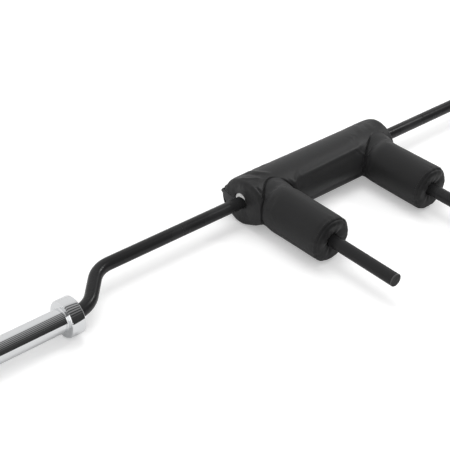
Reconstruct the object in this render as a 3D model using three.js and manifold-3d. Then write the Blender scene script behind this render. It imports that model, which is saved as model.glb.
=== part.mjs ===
// A safety squat bar: a bent steel bar with two forward handles, a sewn foam pad that
// wraps the bar and both handles, and two chromed sleeves that spin on the bar's ends.
// Millimetres. X runs along the bar, the handles point towards -Y, +Z is up.
// The origin is on the floor, at the middle of the flat underside of the pad.
// Left and right are the lifter's, who faces -Y: right is -X and left is +X.
import * as THREE from "three";
import { mergeVertices } from "three/addons/utils/BufferGeometryUtils.js";
import Module from "manifold-3d";

const wasm = await Module();
wasm.setup();

// Fits: what touches keeps fitGap, and every cut runs past the piece by overrun.
const fitGap = 0.3;
const overrun = 5;
const weldTolerance = 0.0001;

// Bar: a straight middle, two cranks that carry the sleeve axes forward and down.
const overallLength = 2200;
const shaftDiameter = 29;
const shaftHeight = 55.5;
const crankStartX = 624;
const crankAngleDegrees = 46;
const crankForward = 74;
const bendRadius = 70;
const markX = 401;
const markWidth = 3;
const markDepth = 0.5;

// Sleeves: an Olympic sleeve with its collar in one piece, turned and chromed.
const sleeveDiameter = 50;
const collarDiameter = 80;
const collarWidth = 31;
const collarFaceX = 764;
const collarFillet = 3;
const collarRimChamfer = 1.6;
const collarBackChamfer = 1;
const boreChamfer = 1;
const sleeveEndChamfer = 2;

// Bearings: the bar steps down to a journal, and two bushes run on it inside each sleeve.
const shoulderStep = 2;
const shoulderInset = 3;
const bushWall = 3.9;
const bushLength = 40;
const bushChamfer = 0.8;
const washerThickness = 3;
const journalEndInset = 18;
const journalEndLand = 4;
const journalChamfer = 1.5;
const circlipThickness = 2;
const circlipGrooveDepth = 1;
const circlipStand = 2.2;
const circlipGapDegrees = 40;

// End cap: a disc in a counterbore, behind an internal retaining ring.
const capSeatStep = 2.5;
const capSeatDepth = 9;
const capThickness = 4;
const capChamfer = 0.8;
const capRingThickness = 1.5;
const capRingGrooveDepth = 1;
const capRingBand = 3;
const capRingGapDegrees = 50;

// Handles: tubes coped and welded to the bar, each closed by a plug.
const handleX = 166.5;
const handleReach = 414;
const handleDiameter = 30;
const handleWall = 3;
const copeShare = 0.6;
const weldLeg = 3;
const weldLength = 7;
const plugFlange = 4;
const plugStem = 15;
const plugEdge = 2.2;
const plugLeadIn = 1;

// Pad: a main roll along the bar and a shoulder roll on each handle.
const mainRollDiameter = 115;
const mainRollLength = 450;
const mainEdge = 15;
const mainDish = 3;
const mainCrownShare = 0.62;
const coverWall = 3.5;
const shaftHoleRadius = 23;
const slitAngleDegrees = 7;
const slitWidth = 1.6;
const shoulderRollDiameter = 110;
const shoulderReach = 238;
const shoulderEdge = 7;
const rootDraw = 6;
const swellLength = 34;
const panelBulge = 5;
const panelCrownShare = 0.72;
const seamDepth = 1.2;
const seamWidth = 2.4;
const seamAngleDegrees = 20;
const panelDish = 2;
const handleHoleRadius = 19;
const handlePassEase = 1.5;

// Closure along the back of the main roll: two tapes and the flap sewn above the slit.
const tapeThickness = 1.4;
const tapeFromDegrees = -26;
const tapeToDegrees = 0;
const flapThickness = 1.2;
const flapFromDegrees = -30;
const flapStepFromDegrees = 2;
const flapStepToDegrees = 9;
const flapToDegrees = 18;
const closureInset = 6;

// Facets.
const shaftSides = 20;
const bendSteps = 6;
const turnedSides = 36;
const smallSides = 28;
const coverSides = 36;
const edgeSteps = 3;
const swellSteps = 4;
const ringSteps = 16;
const ribbonSteps = 10;

// Values that follow from the sizes above.
const shaftRadius = shaftDiameter / 2;
const journalRadius = shaftRadius - shoulderStep;
const boreRadius = journalRadius + bushWall + 2 * fitGap;
const collarRadius = collarDiameter / 2;
const sleeveRadius = sleeveDiameter / 2;
const handleRadius = handleDiameter / 2;
const mainRadius = mainRollDiameter / 2;
const shoulderRadius = shoulderRollDiameter / 2;
const crankDrop = shaftHeight - collarRadius;
const crankOffset = Math.hypot(crankForward, crankDrop);
const crankEndX = crankStartX + crankOffset / Math.tan(THREE.MathUtils.degToRad(crankAngleDegrees));
const collarBackX = collarFaceX - collarWidth;
const shoulderX = collarBackX + shoulderInset;
const sleeveEndX = overallLength / 2;
const sleeveLength = sleeveEndX - collarBackX;
const journalEndX = sleeveEndX - journalEndInset;
const circlipX = journalEndX - journalEndLand - circlipThickness;
const washerX = circlipX - fitGap - washerThickness;
const outerBushX = washerX - fitGap - bushLength;
const innerBushX = shoulderX + fitGap;
const capSeatX = sleeveEndX - capSeatDepth;
const capSeatRadius = boreRadius + capSeatStep;
const capX = capSeatX + fitGap;
const capRingX = capX + capThickness + fitGap;

// A closed three.js geometry as a solid for joining and cutting.
function solidOf(geometry) {
  const bare = geometry.index ? geometry.toNonIndexed() : geometry.clone();
  bare.deleteAttribute("normal");
  bare.deleteAttribute("uv");
  const merged = mergeVertices(bare, weldTolerance);
  return new wasm.Manifold(
    new wasm.Mesh({
      numProp: 3,
      vertProperties: merged.attributes.position.array,
      triVerts: new Uint32Array(merged.index.array),
    }),
  );
}

function geometryOf(solid) {
  const mesh = solid.getMesh();
  const geometry = new THREE.BufferGeometry();
  geometry.setAttribute("position", new THREE.BufferAttribute(mesh.vertProperties, mesh.numProp));
  geometry.setIndex(new THREE.BufferAttribute(mesh.triVerts, 1));
  return geometry;
}

// The first geometry with the others cut out of it.
function cut(geometry, ...tools) {
  return geometryOf(tools.reduce((rest, tool) => rest.subtract(solidOf(tool)), solidOf(geometry)));
}

function joined(...geometries) {
  return geometryOf(geometries.map(solidOf).reduce((whole, piece) => whole.add(piece)));
}

// A turned piece: [distance along X, radius] points, revolved about X.
function turned(points, sides) {
  const profile = points.map(([x, radius]) => new THREE.Vector2(radius, x));
  return new THREE.LatheGeometry(profile, sides).rotateZ(-Math.PI / 2);
}

function turnedRing(points, sides) {
  return turned([...points, points[0]], sides);
}

// A plain rod about X, for pieces and for cutting holes.
function rod(radius, fromX, toX, sides) {
  return turned([[fromX, 0], [fromX, radius], [toX, radius], [toX, 0]], sides);
}

// A tube with a chamfer on both of its outer edges.
function bush(innerRadius, outerRadius, length, chamfer) {
  return turnedRing(
    [
      [0, innerRadius],
      [0, outerRadius - chamfer],
      [chamfer, outerRadius],
      [length - chamfer, outerRadius],
      [length, outerRadius - chamfer],
      [length, innerRadius],
    ],
    smallSides,
  );
}

function plainRing(innerRadius, outerRadius, length) {
  return turnedRing(
    [
      [0, innerRadius],
      [0, outerRadius],
      [length, outerRadius],
      [length, innerRadius],
    ],
    smallSides,
  );
}

// Points of a quarter or other arc in the [x, radius] plane.
function arcPoints(centreX, centreRadius, radius, fromDegrees, toDegrees, steps) {
  return Array.from({ length: steps + 1 }, (_, i) => {
    const angle = THREE.MathUtils.degToRad(fromDegrees + ((toDegrees - fromDegrees) * i) / steps);
    return [centreX + radius * Math.cos(angle), centreRadius + radius * Math.sin(angle)];
  });
}

// A band about X between two radii that may change with the angle, as an outline
// extruded along X. Angle 0 points to the back (+Y) and 90 degrees points up.
function band(innerAt, outerAt, fromDegrees, toDegrees, steps, length) {
  const edge = (radiusAt) =>
    Array.from({ length: steps + 1 }, (_, i) => {
      const degrees = fromDegrees + ((toDegrees - fromDegrees) * i) / steps;
      const angle = THREE.MathUtils.degToRad(degrees);
      return new THREE.Vector2(Math.cos(angle), Math.sin(angle)).multiplyScalar(radiusAt(degrees));
    });
  const outline = new THREE.Shape([...edge(outerAt), ...edge(innerAt).reverse()]);
  const settings = { depth: length, bevelEnabled: false };
  return new THREE.ExtrudeGeometry(outline, settings).rotateX(Math.PI / 2).rotateZ(Math.PI / 2);
}

// A retaining ring: a flat band that leaves a gap between its two ends.
function splitRing(innerRadius, outerRadius, thickness, gapDegrees) {
  const fullTurn = 360;
  const half = gapDegrees / 2;
  return band(() => innerRadius, () => outerRadius, half, fullTurn - half, ringSteps, thickness);
}

// The centre line of the bar: straight runs joined by round bends, sampled only where
// the direction changes, so a straight run costs one step and a bend bendSteps.
class BentRoute extends THREE.Curve {
  constructor(corners, radius, steps) {
    super();
    this.stations = [];
    corners.forEach((corner, i) => {
      if (i === 0 || i === corners.length - 1) this.addEnd(corners, i);
      else this.addBend(corners[i - 1], corner, corners[i + 1], radius, steps);
    });
  }

  addEnd(corners, i) {
    const near = i === 0 ? 1 : i - 1;
    const tangent = corners[Math.max(i, near)].clone().sub(corners[Math.min(i, near)]).normalize();
    this.stations.push({ point: corners[i].clone(), tangent });
  }

  addBend(before, corner, after, radius, steps) {
    const arriving = corner.clone().sub(before).normalize();
    const leaving = after.clone().sub(corner).normalize();
    const turn = arriving.angleTo(leaving);
    const start = corner.clone().addScaledVector(arriving, -radius * Math.tan(turn / 2));
    const inward = leaving.clone().addScaledVector(arriving, -Math.cos(turn)).normalize();
    for (let i = 0; i <= steps; i += 1) {
      const angle = (turn * i) / steps;
      const point = start.clone().addScaledVector(arriving, radius * Math.sin(angle));
      point.addScaledVector(inward, radius * (1 - Math.cos(angle)));
      const tangent = arriving.clone().multiplyScalar(Math.cos(angle));
      tangent.addScaledVector(inward, Math.sin(angle));
      this.stations.push({ point, tangent });
    }
  }

  stationAt(u) {
    return this.stations[Math.round(u * (this.stations.length - 1))];
  }

  getPointAt(u) {
    return this.stationAt(u).point.clone();
  }

  getTangentAt(u) {
    return this.stationAt(u).tangent.clone();
  }
}

// Bar: the bent rod, the two journals, their ring grooves and the two ring marks.
function shaftGeometry() {
  const right = [
    new THREE.Vector3(-shoulderX, -crankForward, -crankDrop),
    new THREE.Vector3(-crankEndX, -crankForward, -crankDrop),
    new THREE.Vector3(-crankStartX, 0, 0),
  ];
  const left = right.map((corner) => new THREE.Vector3(-corner.x, corner.y, corner.z)).reverse();
  const route = new BentRoute([...right, ...left], bendRadius, bendSteps);
  const section = Array.from({ length: shaftSides }, (_, i) => {
    const angle = (2 * Math.PI * i) / shaftSides;
    return new THREE.Vector2(Math.cos(angle), Math.sin(angle)).multiplyScalar(shaftRadius);
  });
  const settings = { steps: route.stations.length - 1, extrudePath: route, bevelEnabled: false };
  const bent = new THREE.ExtrudeGeometry(new THREE.Shape(section), settings);
  const journals = [0, Math.PI].map((turn) =>
    journal().rotateZ(turn).translate(0, -crankForward, -crankDrop),
  );
  const marks = [-markX, markX].map((x) => ringMark().translate(x, 0, 0));
  return cut(joined(bent, ...journals), ...marks);
}

function journal() {
  const grooveRadius = journalRadius - circlipGrooveDepth;
  const grooveFrom = circlipX - fitGap;
  const grooveTo = circlipX + circlipThickness + fitGap;
  return turned(
    [
      [shoulderX - shaftRadius, 0],
      [shoulderX - shaftRadius, journalRadius],
      [grooveFrom, journalRadius],
      [grooveFrom, grooveRadius],
      [grooveTo, grooveRadius],
      [grooveTo, journalRadius],
      [journalEndX - journalChamfer, journalRadius],
      [journalEndX, journalRadius - journalChamfer],
      [journalEndX, 0],
    ],
    smallSides,
  );
}

function ringMark() {
  const depthRadius = shaftRadius - markDepth;
  return turnedRing(
    [
      [-markWidth / 2, depthRadius],
      [-markWidth / 2 - markDepth, shaftRadius + overrun],
      [markWidth / 2 + markDepth, shaftRadius + overrun],
      [markWidth / 2, depthRadius],
    ],
    shaftSides,
  );
}

// Sleeve, measured from the back face of its collar.
function sleeveGeometry() {
  const capRingFrom = capRingX - fitGap - collarBackX;
  const capRingTo = capRingX + capRingThickness + fitGap - collarBackX;
  const capGrooveRadius = capSeatRadius + capRingGrooveDepth;
  const capSeat = capSeatX - collarBackX;
  const filletCentre = [collarWidth + collarFillet, sleeveRadius + collarFillet];
  return turnedRing(
    [
      [0, boreRadius + boreChamfer],
      [0, collarRadius - collarBackChamfer],
      [collarBackChamfer, collarRadius],
      [collarWidth - collarRimChamfer, collarRadius],
      [collarWidth, collarRadius - collarRimChamfer],
      ...arcPoints(...filletCentre, collarFillet, 180, 270, edgeSteps),
      [sleeveLength - sleeveEndChamfer, sleeveRadius],
      [sleeveLength, sleeveRadius - sleeveEndChamfer],
      [sleeveLength, capSeatRadius],
      [capRingTo, capSeatRadius],
      [capRingTo, capGrooveRadius],
      [capRingFrom, capGrooveRadius],
      [capRingFrom, capSeatRadius],
      [capSeat, capSeatRadius],
      [capSeat, boreRadius],
      [boreChamfer, boreRadius],
    ],
    turnedSides,
  );
}

function capGeometry() {
  const radius = capSeatRadius - fitGap;
  return turned(
    [
      [0, 0],
      [0, radius],
      [capThickness - capChamfer, radius],
      [capThickness, radius - capChamfer],
      [capThickness, 0],
    ],
    smallSides,
  );
}

// Handle, measured forward from the bar's axis: the flare at its root is the weld.
function handleGeometry() {
  const innerRadius = handleRadius - handleWall;
  const root = copeShare * shaftRadius;
  const weldTop = shaftRadius + weldLength;
  const end = handleReach - plugFlange - fitGap;
  const tube = turnedRing(
    [
      [root, innerRadius],
      [root, handleRadius + weldLeg],
      [weldTop, handleRadius],
      [end, handleRadius],
      [end, innerRadius],
    ],
    smallSides,
  );
  const span = handleRadius + weldLeg + overrun;
  const shaftSpace = rod(shaftRadius + fitGap, -span, span, smallSides).rotateZ(Math.PI / 2);
  return cut(tube, shaftSpace);
}

function plugGeometry() {
  const stemRadius = handleRadius - handleWall - fitGap;
  const tip = plugStem + plugFlange;
  return turned(
    [
      [0, 0],
      [0, stemRadius - plugLeadIn],
      [plugLeadIn, stemRadius],
      [plugStem, stemRadius],
      [plugStem, handleRadius],
      ...arcPoints(tip - plugEdge, handleRadius - plugEdge, plugEdge, 90, 0, edgeSteps),
      [tip, 0],
    ],
    smallSides,
  );
}

// Outer form of the main roll about the bar's axis: crowned ends that are drawn in to
// the bar, and an underside that the floor has pressed flat.
function mainRoll(grow) {
  const radius = mainRadius + grow;
  const half = mainRollLength / 2 + grow;
  const end = [
    [-half + mainDish, 0],
    [-half + mainDish, shaftHoleRadius],
    [-half, radius * mainCrownShare],
    ...arcPoints(-half + mainEdge, radius - mainEdge, mainEdge, 180, 90, edgeSteps),
  ];
  const otherEnd = end.map(([x, r]) => [-x, r]).reverse();
  const roll = turned([...end, ...otherEnd], coverSides);
  const place = roll.attributes.position;
  for (let i = 0; i < place.count; i += 1) {
    place.setZ(i, Math.max(place.getZ(i), -shaftHeight - grow));
  }
  return roll;
}

// Profile of a shoulder roll, forward from the bar's axis: drawn in where it meets the
// main roll, swelling to full size, then a seam and a domed end panel.
function shoulderProfile() {
  const radius = shoulderRadius;
  const swell = Array.from({ length: swellSteps + 1 }, (_, i) => {
    const share = i / swellSteps;
    const rise = THREE.MathUtils.smoothstep(share, 0, 1);
    return [mainRadius + swellLength * share, radius - rootDraw * (1 - rise)];
  });
  const edgeX = shoulderReach - panelBulge - shoulderEdge;
  const edgeCentre = [edgeX, radius - shoulderEdge];
  const edge = arcPoints(...edgeCentre, shoulderEdge, 90, seamAngleDegrees, edgeSteps);
  const [seamX, seamRadius] = edge[edge.length - 1];
  return [
    [0, 0],
    [0, radius - rootDraw],
    ...swell,
    ...edge,
    [seamX - seamDepth, seamRadius - seamWidth / 2],
    [seamX, seamRadius - seamWidth],
    [shoulderReach, radius * panelCrownShare],
    [shoulderReach - panelDish, handleHoleRadius],
    [shoulderReach - panelDish, 0],
  ];
}

// The foam inside a shoulder roll, and the space for it, lie this far inside the cover.
function coreProfile(inset) {
  const radius = shoulderRadius - inset;
  const end = shoulderReach - panelBulge - seamDepth - inset;
  return [
    [0, 0],
    [0, radius - rootDraw],
    [mainRadius, radius - rootDraw],
    [mainRadius + swellLength, radius],
    [end - shoulderEdge, radius],
    [end, radius - shoulderEdge],
    [end, 0],
  ];
}

// One side's handle frame inside the pad: forward from the bar's axis at +X or -X.
function onHandle(geometry, side) {
  return geometry.rotateZ(-Math.PI / 2).translate(side * handleX, 0, 0);
}

function slit() {
  const span = mainRadius + overrun;
  const length = mainRollLength + 2 * overrun;
  return new THREE.BoxGeometry(length, span, slitWidth)
    .translate(0, span / 2, 0)
    .rotateX(THREE.MathUtils.degToRad(slitAngleDegrees));
}

// A hole for each handle through the front of the main roll.
function handlePasses(radius) {
  return [-1, 1].map((side) => onHandle(rod(radius, 0, mainRadius + overrun, smallSides), side));
}

function mainCoverGeometry() {
  const cavity = mainRadius - coverWall;
  const cavityHalf = mainRollLength / 2 - mainDish - coverWall;
  const half = mainRollLength / 2 + overrun;
  return cut(
    mainRoll(0),
    rod(cavity, -cavityHalf, cavityHalf, coverSides),
    rod(shaftHoleRadius, -half, half, smallSides),
    slit(),
    ...handlePasses(handleRadius + handlePassEase),
  );
}

function mainFoamGeometry() {
  const half = mainRollLength / 2 - mainDish - coverWall - fitGap;
  return cut(
    rod(mainRadius - coverWall - fitGap, -half, half, coverSides),
    rod(shaftRadius + fitGap, -half - overrun, half + overrun, smallSides),
    slit(),
    ...handlePasses(handleRadius + weldLeg + fitGap),
  );
}

function shoulderCoverGeometry(side) {
  const cavity = turned(coreProfile(coverWall), coverSides);
  const hole = rod(handleHoleRadius, 0, shoulderReach + overrun, smallSides);
  return cut(
    onHandle(turned(shoulderProfile(), coverSides), side),
    onHandle(cavity, side),
    onHandle(hole, side),
    mainRoll(fitGap),
  );
}

function shoulderFoamGeometry(side) {
  const core = turned(coreProfile(coverWall + fitGap), coverSides);
  const bore = rod(handleRadius + fitGap, 0, shoulderReach + overrun, smallSides);
  return cut(onHandle(core, side), onHandle(bore, side), mainRoll(fitGap));
}

// The soft tape lies on the cover, the hooked tape on the soft one and the flap on both.
const loopTapeRadius = mainRadius + fitGap;
const hookTapeRadius = loopTapeRadius + tapeThickness + fitGap;
const flapOverRadius = hookTapeRadius + tapeThickness + fitGap;

function tapeGeometry(radius) {
  const length = mainRollLength - 2 * mainEdge;
  const outer = () => radius + tapeThickness;
  return band(() => radius, outer, tapeFromDegrees, tapeToDegrees, ribbonSteps, length);
}

// The flap is sewn to the cover above the slit and steps out over the two tapes.
function flapGeometry() {
  const length = mainRollLength - 2 * closureInset;
  const inner = (degrees) => {
    const step = THREE.MathUtils.smoothstep(degrees, flapStepFromDegrees, flapStepToDegrees);
    return THREE.MathUtils.lerp(flapOverRadius, loopTapeRadius, step);
  };
  const outer = (degrees) => inner(degrees) + flapThickness;
  return band(inner, outer, flapFromDegrees, flapToDegrees, ribbonSteps, length);
}

// Materials.
const paint = { color: 0x141415, roughness: 0.28, metalness: 0.35 };
const chrome = { color: 0xd9dcde, roughness: 0.08, metalness: 1 };
const bronze = { color: 0xa9793f, roughness: 0.4, metalness: 0.9 };
const springSteel = { color: 0x5b5e62, roughness: 0.4, metalness: 0.9 };
const plugPlastic = { color: 0x2b2b2c, roughness: 0.55, metalness: 0 };
const vinyl = { color: 0x1b1b1c, roughness: 0.55, metalness: 0 };
const foam = { color: 0xeeeeec, roughness: 0.95, metalness: 0 };
const tape = { color: 0x1a1a1a, roughness: 0.95, metalness: 0 };

function piece(name, geometry, look) {
  const mesh = new THREE.Mesh(geometry, new THREE.MeshStandardMaterial(look));
  mesh.name = name;
  return mesh;
}

// A turned piece placed at a distance along its group's X axis.
function pieceAt(x, name, geometry, look) {
  const mesh = piece(name, geometry, look);
  mesh.position.x = x;
  return mesh;
}

const squatBar = new THREE.Group();
const padFrame = new THREE.Group();
padFrame.position.z = shaftHeight;
squatBar.add(padFrame);

padFrame.add(
  piece("shaft", shaftGeometry(), paint),
  piece("main_cover", mainCoverGeometry(), vinyl),
  piece("main_foam", mainFoamGeometry(), foam),
  pieceAt(mainEdge - mainRollLength / 2, "loop_tape", tapeGeometry(loopTapeRadius), tape),
  pieceAt(mainEdge - mainRollLength / 2, "hook_tape", tapeGeometry(hookTapeRadius), tape),
  pieceAt(closureInset - mainRollLength / 2, "closure_flap", flapGeometry(), vinyl),
);

const sides = { right: -1, left: 1 };
for (const [word, side] of Object.entries(sides)) {
  padFrame.add(
    piece(`shoulder_cover_${word}`, shoulderCoverGeometry(side), vinyl),
    piece(`shoulder_foam_${word}`, shoulderFoamGeometry(side), foam),
  );

  const handleFrame = new THREE.Group();
  handleFrame.position.set(side * handleX, 0, 0);
  handleFrame.rotation.z = -Math.PI / 2;
  handleFrame.add(
    piece(`handle_${word}`, handleGeometry(), paint),
    pieceAt(handleReach - plugFlange - plugStem, `handle_plug_${word}`, plugGeometry(), plugPlastic),
  );
  padFrame.add(handleFrame);

  const sleeveFrame = new THREE.Group();
  sleeveFrame.position.set(0, -crankForward, collarRadius);
  sleeveFrame.rotation.z = side > 0 ? 0 : Math.PI;
  const bushInner = journalRadius + fitGap;
  const bushOuter = boreRadius - fitGap;
  const journalBush = () => bush(bushInner, bushOuter, bushLength, bushChamfer);
  const washer = plainRing(bushInner, bushOuter, washerThickness);
  const circlipInner = journalRadius - circlipGrooveDepth + fitGap;
  const circlipOuter = journalRadius + circlipStand;
  const circlip = splitRing(circlipInner, circlipOuter, circlipThickness, circlipGapDegrees);
  const capRingOuter = capSeatRadius + capRingGrooveDepth - fitGap;
  const capRingInner = capRingOuter - capRingBand;
  const capRing = splitRing(capRingInner, capRingOuter, capRingThickness, capRingGapDegrees);
  sleeveFrame.add(
    pieceAt(collarBackX, `sleeve_${word}`, sleeveGeometry(), chrome),
    pieceAt(innerBushX, `inner_bush_${word}`, journalBush(), bronze),
    pieceAt(outerBushX, `outer_bush_${word}`, journalBush(), bronze),
    pieceAt(washerX, `thrust_washer_${word}`, washer, springSteel),
    pieceAt(circlipX, `circlip_${word}`, circlip, springSteel),
    pieceAt(capX, `end_cap_${word}`, capGeometry(), chrome),
    pieceAt(capRingX, `cap_ring_${word}`, capRing, springSteel),
  );
  squatBar.add(sleeveFrame);
}

export default squatBar;
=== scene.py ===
import math

import bmesh
import bpy
import numpy as np
from mathutils import Matrix, Vector, kdtree


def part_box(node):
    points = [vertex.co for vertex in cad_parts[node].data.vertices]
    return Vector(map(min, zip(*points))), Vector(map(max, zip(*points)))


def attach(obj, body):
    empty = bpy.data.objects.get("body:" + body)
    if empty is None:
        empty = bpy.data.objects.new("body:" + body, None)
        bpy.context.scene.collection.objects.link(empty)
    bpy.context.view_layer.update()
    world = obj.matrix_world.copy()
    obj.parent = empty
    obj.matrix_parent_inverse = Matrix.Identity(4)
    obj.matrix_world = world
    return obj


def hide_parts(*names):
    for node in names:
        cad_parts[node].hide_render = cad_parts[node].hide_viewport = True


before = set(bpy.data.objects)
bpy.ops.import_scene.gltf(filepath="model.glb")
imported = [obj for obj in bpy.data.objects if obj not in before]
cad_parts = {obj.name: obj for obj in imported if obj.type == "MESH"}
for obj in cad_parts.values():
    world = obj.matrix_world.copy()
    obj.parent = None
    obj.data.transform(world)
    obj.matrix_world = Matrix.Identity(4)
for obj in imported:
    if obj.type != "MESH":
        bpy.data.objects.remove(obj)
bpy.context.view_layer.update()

bl_info = {
    "name": "Safety squat bar",
    "version": (1, 0, 0),
    "blender": (4, 5, 0),
    "location": "3D View > Sidebar > Squat bar",
    "description": "Builds the bar, sleeves and sewn pad of a safety squat bar around its packed frame",
    "category": "Object",
}

MM = 0.001
# The lifter's sides, by the sign of X.
SIDES = {"right": -1, "left": 1}
# The diameter of the bent bar.
BAR = 29 * MM

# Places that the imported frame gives.
SHAFT_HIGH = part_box("shaft")[1]
MAIN_LOW, MAIN_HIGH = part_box("main_cover")
ROLL_LOW, ROLL_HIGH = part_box("shoulder_cover_left")
HANDLE_LOW, HANDLE_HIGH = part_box("handle_left")
PLUG_LOW, PLUG_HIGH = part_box("handle_plug_left")
SLEEVE_LOW, SLEEVE_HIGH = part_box("sleeve_left")
CAP_LOW, CAP_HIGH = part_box("end_cap_left")
CAP_RING_LOW, CAP_RING_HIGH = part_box("cap_ring_left")
FLAP_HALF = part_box("closure_flap")[1].x
TAPE_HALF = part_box("loop_tape")[1].x
FOAM_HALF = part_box("main_foam")[1].x
ROLL_FOAM_FRONT = -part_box("shoulder_foam_left")[0].y
AXIS_HEIGHT = SHAFT_HIGH.z - BAR / 2
SLEEVE_Y = (SLEEVE_LOW.y + SLEEVE_HIGH.y) / 2
SLEEVE_Z = (SLEEVE_LOW.z + SLEEVE_HIGH.z) / 2
HANDLE_X = (HANDLE_LOW.x + HANDLE_HIGH.x) / 2
MAIN_RADIUS = (MAIN_HIGH.y - MAIN_LOW.y) / 2
ROLL_RADIUS = (ROLL_HIGH.x - ROLL_LOW.x) / 2
ROLL_END = -ROLL_LOW.y

# The gap between metal pieces that fit together, and the wall of a handle.
FIT, HANDLE_WALL = 0.3 * MM, 3 * MM
# How many sides the bar and the handles have, and the angle in degrees from which edges are sharp.
BAR_SIDES, HANDLE_SIDES, METAL_CORNER = 64, 72, 38
# The rear opening's slit on each end face: its angle round the bar at the axis, and how much the
# angle grows with the radius, in degrees per metre.
SLIT_DEGREES, SLIT_SLOPE = 3, 100


def length(label, description, default):
    """A size in metres that a user can change."""
    return bpy.props.FloatProperty(
        name=label, description=description, default=default, min=0, unit="LENGTH", precision=4
    )


def turn(label, description, degrees):
    """An angle that a user can change."""
    return bpy.props.FloatProperty(
        name=label, description=description, default=math.radians(degrees), unit="ROTATION"
    )


def colour(label, description, default):
    """A colour that a user can change."""
    return bpy.props.FloatVectorProperty(
        name=label, description=description, default=default, min=0, max=1, size=3, subtype="COLOR"
    )


class SQUATBAR_PG_bar(bpy.types.PropertyGroup):
    shaft: length("Shaft", "Diameter of the bent bar", BAR)
    journal: length("Journal", "Diameter of the bar inside each sleeve", 25 * MM)
    crank_start: length("Crank start", "From mid-bar to the crank's inner corner", 624 * MM)
    crank_turn: turn("Crank angle", "Angle of each crank to the bar", 46)
    bend: length("Bend radius", "Radius of the bar's centre line in each bend", 70 * MM)
    mark_place: length("Ring mark", "From mid-bar to each ring mark", 401 * MM)
    mark_width: length("Mark width", "Width of each ring mark", 3 * MM)
    mark_depth: length("Mark depth", "Depth of each ring mark", 0.5 * MM)
    handle: length("Handle", "Diameter of each handle tube", 30 * MM)
    paint: colour("Paint", "Gloss black powder coat", (0.018, 0.018, 0.0186))
    plug: colour("Plug", "Plastic of the handle plugs", (0.045, 0.045, 0.047))


class SQUATBAR_PG_sleeve(bpy.types.PropertyGroup):
    sleeve: length("Sleeve", "Diameter that carries the plates", 50 * MM)
    collar_width: length("Collar width", "Width of the collar", 31 * MM)
    fillet: length("Fillet", "Radius where the sleeve meets the collar", 3 * MM)
    rim_chamfer: length("Rim chamfer", "Chamfer on the collar's outer rim", 1.8 * MM)
    rim_width: length("Rim width", "How far that chamfer reaches along the collar", 2.8 * MM)
    back_chamfer: length("Back chamfer", "Chamfer on the collar's back rim", 1 * MM)
    bore: length("Bore", "Diameter of the bore for the bushes", 34 * MM)
    chrome: colour("Chrome", "Polished plating", (0.83, 0.84, 0.85))
    bronze: colour("Bronze", "Bushes", (0.5, 0.3, 0.12))
    steel: colour("Spring steel", "Washers and retaining rings", (0.3, 0.31, 0.32))


class SQUATBAR_PG_pad(bpy.types.PropertyGroup):
    edge: length("End edge", "Rounding of the main roll's ends", 9 * MM)
    roll_edge: length("Roll edge", "Rounding of a shoulder roll's end", 3.5 * MM)
    shaft_hole: length("Shaft hole", "Radius of the cover's hole for the bar", 16 * MM)
    shaft_hole_rise: length("Hole rise", "How far that hole sits up and back from the bar's axis", 5.8 * MM)
    far_puff: length("Left end puff", "How much further the cover's left end reaches", 11 * MM)
    handle_hole: length("Handle hole", "Radius of the cover's hole for a handle", 15.7 * MM)
    crease: length("Crease", "Depth of the creases round the shoulder rolls", 6 * MM)
    cell: length("Cell", "Mesh cell of the covers before they are subdivided", 3.4 * MM)
    slack: length("Slack", "How much smaller the cover starts before it is inflated", 1.6 * MM)
    swell: length("Swell", "The furthest that inflating may move a point", 3.5 * MM)
    vinyl: colour("Vinyl", "Cover", (0.0185, 0.0185, 0.0192))
    foam: colour("Foam", "Cores", (0.93, 0.93, 0.92))
    tape: colour("Tape", "Fastening tapes", (0.03, 0.03, 0.031))
    lining: colour("Lining", "Back of the flap", (0.055, 0.055, 0.057))
    thread: colour("Thread", "Stitching", (0.02, 0.02, 0.021))


class SQUATBAR_PG_stage(bpy.types.PropertyGroup):
    floor: colour("Floor", "Paper under the bar", (0.82, 0.82, 0.82))
    lens: bpy.props.FloatProperty(
        name="Lens", description="Focal length on a 36 mm sensor", default=89.09, unit="CAMERA"
    )
    place: bpy.props.FloatVectorProperty(
        name="Camera place", description="Where the camera stands", subtype="TRANSLATION",
        default=(-1.6922, -1.4968, 1.4393),
    )
    heading: turn("Heading", "Camera heading about the vertical", -43.571)
    tilt: turn("Tilt", "How far the camera looks down", 34.623)
    roll: turn("Roll", "Camera roll about its own axis", 3.127)


# Shaders


class Wire:
    """One output of a shader node; arithmetic on it adds Math nodes."""

    def __init__(self, finish, socket):
        self.finish = finish
        self.socket = socket

    def maths(self, operation, *values):
        return self.finish.node("ShaderNodeMath", {"operation": operation}, dict(enumerate(values)))

    def __add__(self, other):
        return self.maths("ADD", self, other)

    __radd__ = __add__

    def __sub__(self, other):
        return self.maths("SUBTRACT", self, other)

    def __rsub__(self, other):
        return self.maths("SUBTRACT", other, self)

    def __mul__(self, other):
        return self.maths("MULTIPLY", self, other)

    __rmul__ = __mul__

    def __truediv__(self, other):
        return self.maths("DIVIDE", self, other)

    def __pow__(self, other):
        return self.maths("POWER", self, other)

    def smooth(self, low, high):
        """0 below low, 1 above high and a smooth step between."""
        settings = {"interpolation_type": "SMOOTHSTEP"}
        return self.finish.node("ShaderNodeMapRange", settings, {0: self, 1: low, 2: high})


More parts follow.
